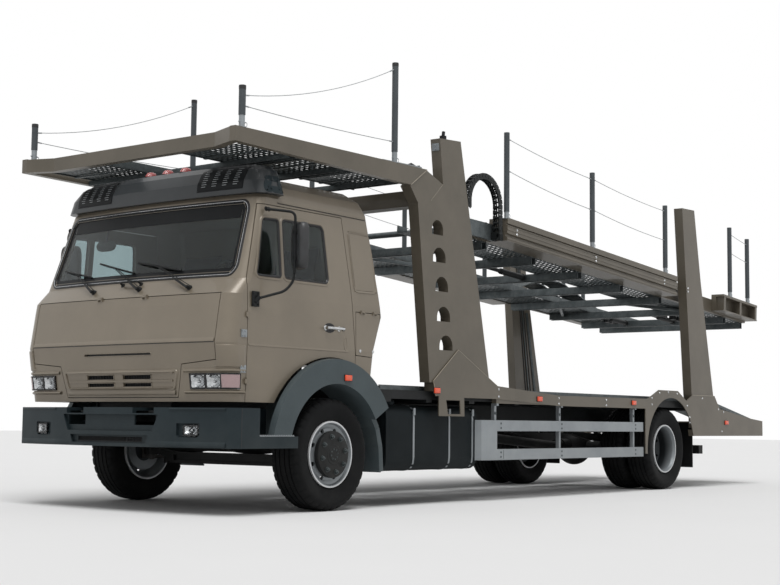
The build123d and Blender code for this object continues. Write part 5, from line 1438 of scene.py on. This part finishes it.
def buildMarkers(bm):
    halfX, halfZ = markerLook["half"]
    for side in (1, -1):
        for ahead, z, y in markerLook["places"]:
            rings = []
            for size, proud in markerLook["lens"]:
                corners = [(a * halfX * size, b * halfZ * size) for a, b in ((-1, -1), (1, -1), (1, 1), (-1, 1))]
                rings.append([bm.verts.new(spot(ahead + point.x, side * (y + proud), z + point.y))
                              for point, _ in softPath(corners, 0.008, 0.05)])
            joinRings(bm, rings, capped=False)
            bm.faces.new(rings[-1])


def buildMarkerFeet(bm):
    for side in (1, -1):
        for ahead, z, y in markerLook["places"]:
            ends = (spot(ahead + half, side * (y + 0.002), z) for half in (-0.047, 0.047))
            addBar(bm, *ends, 0.007, 0.054)


makePiece("marker_lenses", "chassis", "orangeLens", "red_lamp", buildMarkers)
makePiece("marker_feet", "chassis", "seal", "dark_plastic", buildMarkerFeet)


def buildPostFittings(bm):
    # A stepped stub on each leaning post, and a block with a hose at the cab deck's rear end
    for side in (1, -1):
        y = side * 1.1875
        top = meet(("front_posts",), spot(-1.480, y, 3.6), Vector((0, 0, -1)))
        addBar(bm, top - Vector((0, 0, 0.006)), top + Vector((0, 0, 0.038)), 0.05, 0.05, (1, 0, 0))
        addBar(bm, top + Vector((0, 0, 0.030)), top + Vector((-0.008, 0, 0.078)), 0.024, 0.024, (1, 0, 0))
        addBar(bm, spot(-1.020, side * 1.16, 2.885), spot(-1.150, side * 1.16, 2.915), 0.050, 0.060)
        hose = ((-1.02, 1.13, 2.925), (-1.10, 1.12, 2.955), (-1.18, 1.13, 2.93))
        addPipe(bm, [spot(x, side * y, z) for x, y, z in hose], 0.012, 10)


makePiece("post_fittings", "chassis", "blackPaint", "black_paint", buildPostFittings)


def buildPostPatches(bm):
    for side in (1, -1):
        y = side * 1.1875
        addBar(bm, spot(-1.3665, y, 3.175), spot(-1.3745, y, 3.110), 0.075, 0.012, (1, 0, 0))
        for z in (3.16, 3.125):
            addBolt(bm, spot(-1.364 - (3.16 - z) * 0.12, y, z), (1, 0, 0), 0.008)
        addBar(bm, spot(-0.56, side * 1.215, 2.900), spot(-1.10, side * 1.215, 2.912), 0.045, 0.014)


makePiece("post_patches", "chassis", "guardAlloy", "galvanised", buildPostPatches)

# Fuel tank: straps, filler and rimmed ends

# Profiles are pairs of how far out of the tank's skin and how far along the tank
tankLook = {"centre": (0.825, 0.575), "half": (0.325, 0.280), "corner": 0.1125, "straps": (-1.13, -1.656, -2.015),
            "ends": ((-0.750, 1), (-2.080, -1)),
            "strap": [(-0.002, -0.0115), (0.0045, -0.011), (0.0045, 0.011), (-0.002, 0.0115)],
            "rim": [(0.002, -0.020), (0.003, 0.004), (-0.008, 0.006), (-0.016, 0.001), (-0.030, -0.0005),
                    (-0.045, 0.002), (-0.070, 0.0025)],
            "panel": [(-0.068, 0.0012), (-0.080, 0.0008), (-0.20, 0.0008), (-0.27, 0.0008)]}


def addTankBand(bm, ahead, way, profile):
    (y, z), (halfY, halfZ) = tankLook["centre"], tankLook["half"]
    corners = [(y + a * halfY, z + b * halfZ) for a, b in ((-1, -1), (1, -1), (1, 1), (-1, 1))]
    addTrim(bm, softPath(corners, tankLook["corner"], 0.06), profile,
            lambda point, proud: spot(ahead + way * proud, point.x, point.y))


def buildStraps(bm):
    for ahead in tankLook["straps"]:
        addTankBand(bm, ahead, 1, tankLook["strap"])
        top = spot(ahead, 1.12, 0.80)
        addBar(bm, top + Vector((0, 0.036, -0.03)), top + Vector((0, 0.036, 0.03)), 0.026, 0.014, (0, 1, 0))


def buildTankEnds(bm):
    # Rolled rims and the filler
    for ahead, way in tankLook["ends"]:
        addTankBand(bm, ahead, way, tankLook["rim"])
    top = spot(-0.90, 1.02, 0.845)
    addRings(bm, top, (0, 0.35, 1), [(0, 0.058), (0.035, 0.056), (0.037, 0.064), (0.060, 0.063), (0.066, 0.050)], 28)
    addBar(bm, top + Vector((-0.04, 0.02, 0.064)), top + Vector((0.04, 0.02, 0.064)), 0.016, 0.014)


makePiece("tank_straps", "chassis", "guardAlloy", "galvanised", buildStraps)
makePiece("tank_ends", "chassis", "tankPaint", "tank", buildTankEnds)


def buildTankShadow(bm):
    # A black sheet over the sunk middle of the tank's ends: painted shade in the recess
    for ahead, way in tankLook["ends"]:
        addTankBand(bm, ahead, way, tankLook["panel"])


makePiece("tank_end_painted_shade", "chassis", "blackPaint", "black_paint", buildTankShadow)


# Side guards: bolts on both rails, clamps at the lower one's ends, and hangers
guardLook = {"bolts": (-2.36, -3.44, -4.95), "boltZ": (0.40, 0.442, 0.665, 0.707), "clamps": (-5.12, -2.40),
             "hangers": (-2.30, -3.44, -4.95)}


def buildGuardBolts(bm):
    for side in (1, -1):
        for ahead in guardLook["bolts"]:
            for z in guardLook["boltZ"]:
                addBolt(bm, spot(ahead, side * 1.2365, z), (0, side, 0), 0.007)
        for ahead in guardLook["clamps"]:
            addBar(bm, spot(ahead, side * 1.2245, 0.421), spot(ahead - 0.006, side * 1.2245, 0.421), 0.027, 0.102)
        for ahead in guardLook["hangers"]:
            addBar(bm, spot(ahead + 0.034, side * 1.205, 0.815), spot(ahead + 0.034, side * 1.205, 0.885), 0.012, 0.05)
            addBolt(bm, spot(ahead, side * 1.2135, 0.800), (0, side, 0), 0.010)


makePiece("guard_bolts", "chassis", "zinc", "galvanised", buildGuardBolts)
print("decks, posts and chassis fittings made")

# Wheels: protruding dark covers with eight nuts in front, nuts and studs behind

# The cover gives pairs of how far out of the wheel's middle and radius
nutLook = {"circle": 0.142, "nut": 0.0165, "tall": 0.021, "hubCircle": 0.047, "capCircle": 0.040,
           "cover": [(0.080, 0.150), (0.097, 0.176), (0.112, 0.186), (0.140, 0.187), (0.147, 0.184), (0.150, 0.176),
                     (0.1505, 0.082), (0.153, 0.078), (0.153, 0.058), (0.158, 0.052), (0.158, 0.0)]}


def addNut(bm, place, side):
    # A washer, a six-sided nut and the stud's end
    nut, tall = nutLook["nut"], nutLook["tall"]
    for rings, parts in (([(-0.002, nut * 1.35), (0.003, nut * 1.35)], 18),
                         ([(0.002, nut), (tall * 0.85, nut), (tall, nut * 0.8)], 6),
                         ([(0.01, 0.009), (tall + 0.006, 0.009), (tall + 0.008, 0.007)], 12)):
        addRings(bm, place, (0, side, 0), rings, parts)


def frontHub(sideName):
    low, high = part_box("front_tyre_" + sideName)
    return spot(0, (low[1] + high[1]) / 2, wheelHeight)


def buildCover(bm, side, name):
    addRings(bm, frontHub(name), (0, side, 0), nutLook["cover"], 64)


def buildFrontNuts(bm, side, name):
    hub, reach, small = frontHub(name), nutLook["circle"], nutLook["capCircle"]
    for k in range(8):
        turn = 2 * pi * (k + 0.25) / 8
        addNut(bm, hub + Vector((reach * sin(turn), side * 0.150, reach * cos(turn))), side)
        addBolt(bm, hub + Vector((small * sin(turn), side * 0.158, small * cos(turn))), (0, side, 0), 0.0055, 0.005)


def buildRearNuts(bm, node, side):
    ahead = rearAxleX - frontAxleX

    def onRim(reach, turn):
        return onSide((node,), ahead + reach * sin(turn), wheelHeight + reach * cos(turn), side)
    for k in range(10):
        addNut(bm, onRim(nutLook["circle"], 2 * pi * (k + 0.5) / 10), side)
    for k in range(8):
        addBolt(bm, onRim(nutLook["hubCircle"], 2 * pi * k / 8), (0, side, 0), 0.0065)


for side, sideName in sides:
    makePiece("front_wheel_cover_" + sideName, sideName + "_front_wheel", "blackPaint", "rim",
              lambda bm: buildCover(bm, side, sideName), 25)
    makePiece("front_wheel_nuts_" + sideName, sideName + "_front_wheel", "zincDark", "galvanised",
              lambda bm: buildFrontNuts(bm, side, sideName))
    makePiece("rear_wheel_nuts_" + sideName, sideName + "_rear_wheels", "zincDark", "galvanised",
              lambda bm: buildRearNuts(bm, "rear_rims_" + sideName, side))

# Flaps behind the front wheels, from the arch down

flapLine = ((-0.455, 0.792), (-0.545, 0.660), (-0.590, 0.500), (-0.605, 0.300))  # ahead, z


def buildFlaps(bm):
    # A sheet with a side flange, three ribs and a bar along its foot
    for side in (1, -1):
        for (firstX, firstZ), (lastX, lastZ) in zip(flapLine, flapLine[1:]):
            def ends(y, back):
                return spot(firstX - back, side * y, firstZ), spot(lastX - back, side * y, lastZ)
            addBar(bm, *ends(1.030, 0.0), 0.010, 0.340, (0, 1, 0))
            addBar(bm, *ends(1.198, 0.020), 0.052, 0.008, (0, 1, 0))
            for y in (0.885, 0.982, 1.079):
                addBar(bm, *ends(y, 0.008), 0.018, 0.014, (0, 1, 0))
        foot = spot(flapLine[-1][0], side * 1.030, flapLine[-1][1])
        addBar(bm, foot + Vector((-0.004, -0.17, 0)), foot + Vector((-0.004, 0.17, 0)), 0.024, 0.014)


makePiece("arch_flaps", "chassis", "archPlastic", "dark_plastic", buildFlaps)

# Seats: crowned cushions with sewn channels, piping and base frames

# The level cushion's middle is (ahead, height over the floor, rise forward); the back's ends are (ahead, z)
seatLook = {"middle": 0.56, "cushion": (0.085, 0.262, 0.02), "backLow": (-0.125, 1.585), "backHigh": (-0.272, 2.172),
            "squareness": 4.5, "crown": 0.45, "channels": 5, "channelDeep": 0.010, "pull": 0.035, "parts": 36,
            "piping": 0.0048}
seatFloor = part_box("seats")[0][2]


def pulledIn(half, a, b):
    # A place on a cushion by its shares from the middle to the edge; its sides pull in between the corners
    pull = seatLook["pull"]
    return half[0] * a * (1 - pull * (1 - b * b)), half[1] * b * (1 - pull * (1 - a * a))


def addCushion(bm, side, place, half, thick, channelsAcross):
    # Two crowned faces that meet in a seam, with sewn channels on the upper one
    look = seatLook
    shares = spread(-1, 1, look["parts"])
    for face in (1, -1):
        rows = []
        for b in shares:
            row = []
            for a in shares:
                flank = (1 - abs(a) ** look["squareness"]) * (1 - abs(b) ** look["squareness"])
                crown = max(0.0, flank) ** look["crown"]
                along = (a if channelsAcross else b) * look["channels"] / 2
                sewn = look["channelDeep"] * (1 - abs(sin(pi * along)) ** 0.4) * crown if face > 0 else 0
                height = face * thick * (0.06 + 0.94 * crown) - sewn
                row.append(bm.verts.new(place(side, *pulledIn(half, a, b), height)))
            rows.append(row)
        joinRings(bm, rows, around=False, capped=False)
        edge = rows[0] + [row[-1] for row in rows[1:]]
        edge += list(reversed(rows[-1]))[1:] + [row[0] for row in reversed(rows[1:-1])]
        if face > 0:
            upper = edge
    joinRings(bm, [upper, edge], capped=False)


def cushionSpot(side, u, v, height):
    # The level cushion: u across, v forward, height over its seam
    ahead, level, rise = seatLook["cushion"]
    return spot(ahead + v, side * seatLook["middle"] + u, seatFloor + level + height + rise * v)


def backSpot(side, u, v, height):
    # The leaning backrest: u across, v up along it, height out of its front
    low, high = (spot(x, 0, z) for x, z in (seatLook["backLow"], seatLook["backHigh"]))
    along = (high - low).normalized()
    middle = low.lerp(high, 0.5)
    front = Vector((along.z, 0, -along.x))
    return middle + along * v + front * height + Vector((0, side * seatLook["middle"] + u, 0))


# Each pad: its place, half width and half length, thickness, and whether its channels follow each other across
pads = {"cushion": (cushionSpot, (0.240, 0.232), 0.056, True), "back": (backSpot, (0.226, 0.285), 0.046, False)}

for side, sideName in sides:
    cushion = makePiece("seat_cushion_" + sideName, "chassis", "seatCloth", "cloth",
                        lambda bm: addCushion(bm, side, *pads["cushion"]), 60)
    back = makePiece("seat_back_" + sideName, "chassis", "seatCloth", "cloth",
                     lambda bm: addCushion(bm, side, *pads["back"]), 60)
    if side > 0:
        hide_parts("seats")


def buildSeatFrames(bm):
    # A pan over five folds of bellows, two floor rails, the backrest's posts and a lever
    for side in (1, -1):
        def near(ahead, y, rise):
            return spot(ahead, side * seatLook["middle"] + y, seatFloor + rise)
        addSlab(bm, near(-0.150, -0.215, 0.185), near(0.300, 0.215, 0.204), 0.004)
        for k in range(5):
            shift, rise = 0.006 * (k % 2), 0.020 + 0.033 * k
            addSlab(bm, near(shift - 0.10, -0.17, rise), near(0.25 - shift, 0.17, rise + 0.027), 0.010)
        for y in (-0.15, 0.15):
            addSlab(bm, near(-0.165, y - 0.02, 0.001), near(0.315, y + 0.02, 0.022), 0.003)
            addPipe(bm, [near(-0.145, y, 0.20), near(-0.155, y, 0.31)], 0.011, 10)
        addPipe(bm, [near(0.10, side * 0.216, 0.194), near(0.19, side * 0.238, 0.205)], 0.008, 10)


makePiece("seat_frames", "chassis", "dashTrim", "trim", buildSeatFrames)


def buildSeatPiping(bm):
    # Once around each pad's seam
    shares = spread(-1, 1, 20)
    seam = [(a, -1) for a in shares[:-1]] + [(1, b) for b in shares[:-1]]
    seam += [(-a, 1) for a in shares[:-1]] + [(-1, -b) for b in shares]
    for side in (1, -1):
        for place, half, *_ in pads.values():
            addPipe(bm, [place(side, *pulledIn(half, a, b), 0) for a, b in seam], seatLook["piping"], 8)


makePiece("seat_piping", "chassis", "dashTrim", "trim", buildSeatPiping)


def buildInsideMirror(bm):
    for rise in (0.045, -0.050):
        addDome(bm, spot(0.835, -0.60, 2.150), (0.014, 0.125, rise))
    addPipe(bm, [spot(0.835, -0.60, 2.165), spot(0.825, -0.60, 2.24), spot(0.800, -0.60, 2.345)], 0.006, 10)


makePiece("inside_mirror", "chassis", "dashTrim", "trim", buildInsideMirror, 60)

# Lid's lower seal, rear posts' guide channels and rear lamps' frames


def buildLidSeal(bm):
    points = [onFront(("front_lid",), y, 0.880) - Vector((0.034, 0, 0.006)) for y in spread(-0.60, 0.60, 12)]
    for first, last in zip(points, points[1:]):
        addBar(bm, first, last, 0.014, 0.042)


makePiece("lid_lower_seal", "chassis", "seal", "dark_plastic", buildLidSeal)


def postMiddle(side, z):
    # The middle of a rear post's inner face at a height, and the post's width there
    y = side * 1.200
    ahead = meet(("rear_posts",), spot(-4.0, y, z), Vector((-1, 0, 0)))
    behind = meet(("rear_posts",), spot(-8.6, y, z), Vector((1, 0, 0)))
    inner = meet(("rear_posts",), Vector(((ahead.x + behind.x) / 2, 0, z)), Vector((0, side, 0)))
    return Vector(((ahead.x + behind.x) / 2, inner.y, z)), ahead.x - behind.x


def buildChannels(bm, rows):
    # Rows: share of the post's width from its middle, width, how far proud, lower and upper height
    for side in (1, -1):
        for share, wide, proud, low, high in rows:
            ends = []
            for z in (low, high):
                middle, width = postMiddle(side, z)
                ends.append(middle + Vector((share * width, -side * proud, 0)))
            addBar(bm, ends[0], ends[1], wide, 0.008, (0, side, 0))


makePiece("post_guide_slots", "chassis", "seal", "dark_plastic",
          lambda bm: buildChannels(bm, ((0.10, 0.020, 0.003, 1.12, 3.05), (-0.10, 0.016, 0.003, 1.12, 3.05))))
makePiece("post_guide_strips", "chassis", "zincDark", "galvanised",
          lambda bm: buildChannels(bm, ((0.0, 0.026, 0.006, 1.12, 3.05), (-0.27, 0.052, 0.004, 1.12, 2.10))))


def buildRearFrames(bm):
    # Two rails with five uprights between the lenses, and a back plate
    (lowX, _, lowZ), (_, outer, highZ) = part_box("rear_lamps")
    x, inner, middleZ = lowX + 0.004, outer - 0.360, (lowZ + highZ) / 2
    for side in (1, -1):
        for z in (lowZ + 0.004, highZ - 0.004):
            addBar(bm, (x, side * inner, z), (x, side * outer, z), 0.014, 0.010)
        for share in (0.0, 0.30, 0.55, 0.80, 1.0):
            y = side * (inner + (outer - inner) * share - 0.004 * (2 * share - 1))
            addBar(bm, (x, y, lowZ), (x, y, highZ), 0.010, 0.013, (1, 0, 0))
        low, high = sorted((side * outer, side * inner))
        addSlab(bm, (x + 0.014, low - 0.004, middleZ - 0.05), (x + 0.030, high + 0.004, middleZ + 0.05), 0.004)


makePiece("rear_lamp_frames", "chassis", "seal", "dark_plastic", buildRearFrames)
print("wheels, seats and rear fittings made")

# Floor, lights and world

stageLook = {"floorTone": 0.80, "floorSize": 120, "worldLight": 0.40, "sunStrength": 2.1, "sunSize": 34,
             "sunFrom": (0.28, 0.30, 0.91)}


def whiteToCamera(tree, strength):
    # A plain white picture ground for camera, mirror and glass rays; softer light for the rest
    path = newNode(tree, "ShaderNodeLightPath").outputs
    seen = compute(tree, "MAXIMUM", path["Is Camera Ray"], path["Is Transmission Ray"])
    return ramp(tree, compute(tree, "MAXIMUM", seen, path["Is Glossy Ray"]), 0, 1, strength, 1.0)


def makeStage(look):
    world = bpy.data.worlds.new("studio")
    bpy.context.scene.world = world
    world.use_nodes = True
    tree = world.node_tree
    sky = tree.nodes["Background"]
    sky.inputs["Color"].default_value = (1, 1, 1, 1)
    wire(tree, whiteToCamera(tree, look["worldLight"]), sky.inputs["Strength"])
    sun = bpy.data.lights.new("softSun", "SUN")
    sun.energy = look["sunStrength"]
    sun.angle = radians(look["sunSize"])
    lamp = bpy.data.objects.new("softSun", sun)
    lamp.rotation_euler = Vector(look["sunFrom"]).to_track_quat("Z", "Y").to_euler()
    bpy.context.scene.collection.objects.link(lamp)
    bm = bmesh.new()
    bmesh.ops.create_grid(bm, x_segments=8, y_segments=8, size=look["floorSize"] / 2)
    floor = bpy.data.objects.new("floor", meshOf("floor", bm))
    floor.location.z = -0.001
    bpy.context.scene.collection.objects.link(floor)
    material, tree, shader, place = startMaterial("floorFinish")
    mottle = texture(tree, "Noise", place, Scale=0.8, Detail=4.0)[0]
    tone = (look["floorTone"],) * 3
    wire(tree, mixTone(tree, mottle, tone, tuple(part * 0.98 for part in tone)), shader.inputs["Base Color"])
    shader.inputs["Roughness"].default_value = 0.9
    shader.inputs["Specular IOR Level"].default_value = 0.1
    floor.data.materials.append(material)


makeStage(stageLook)
bpy.context.scene.view_settings.view_transform = "Standard"
print("stage set")
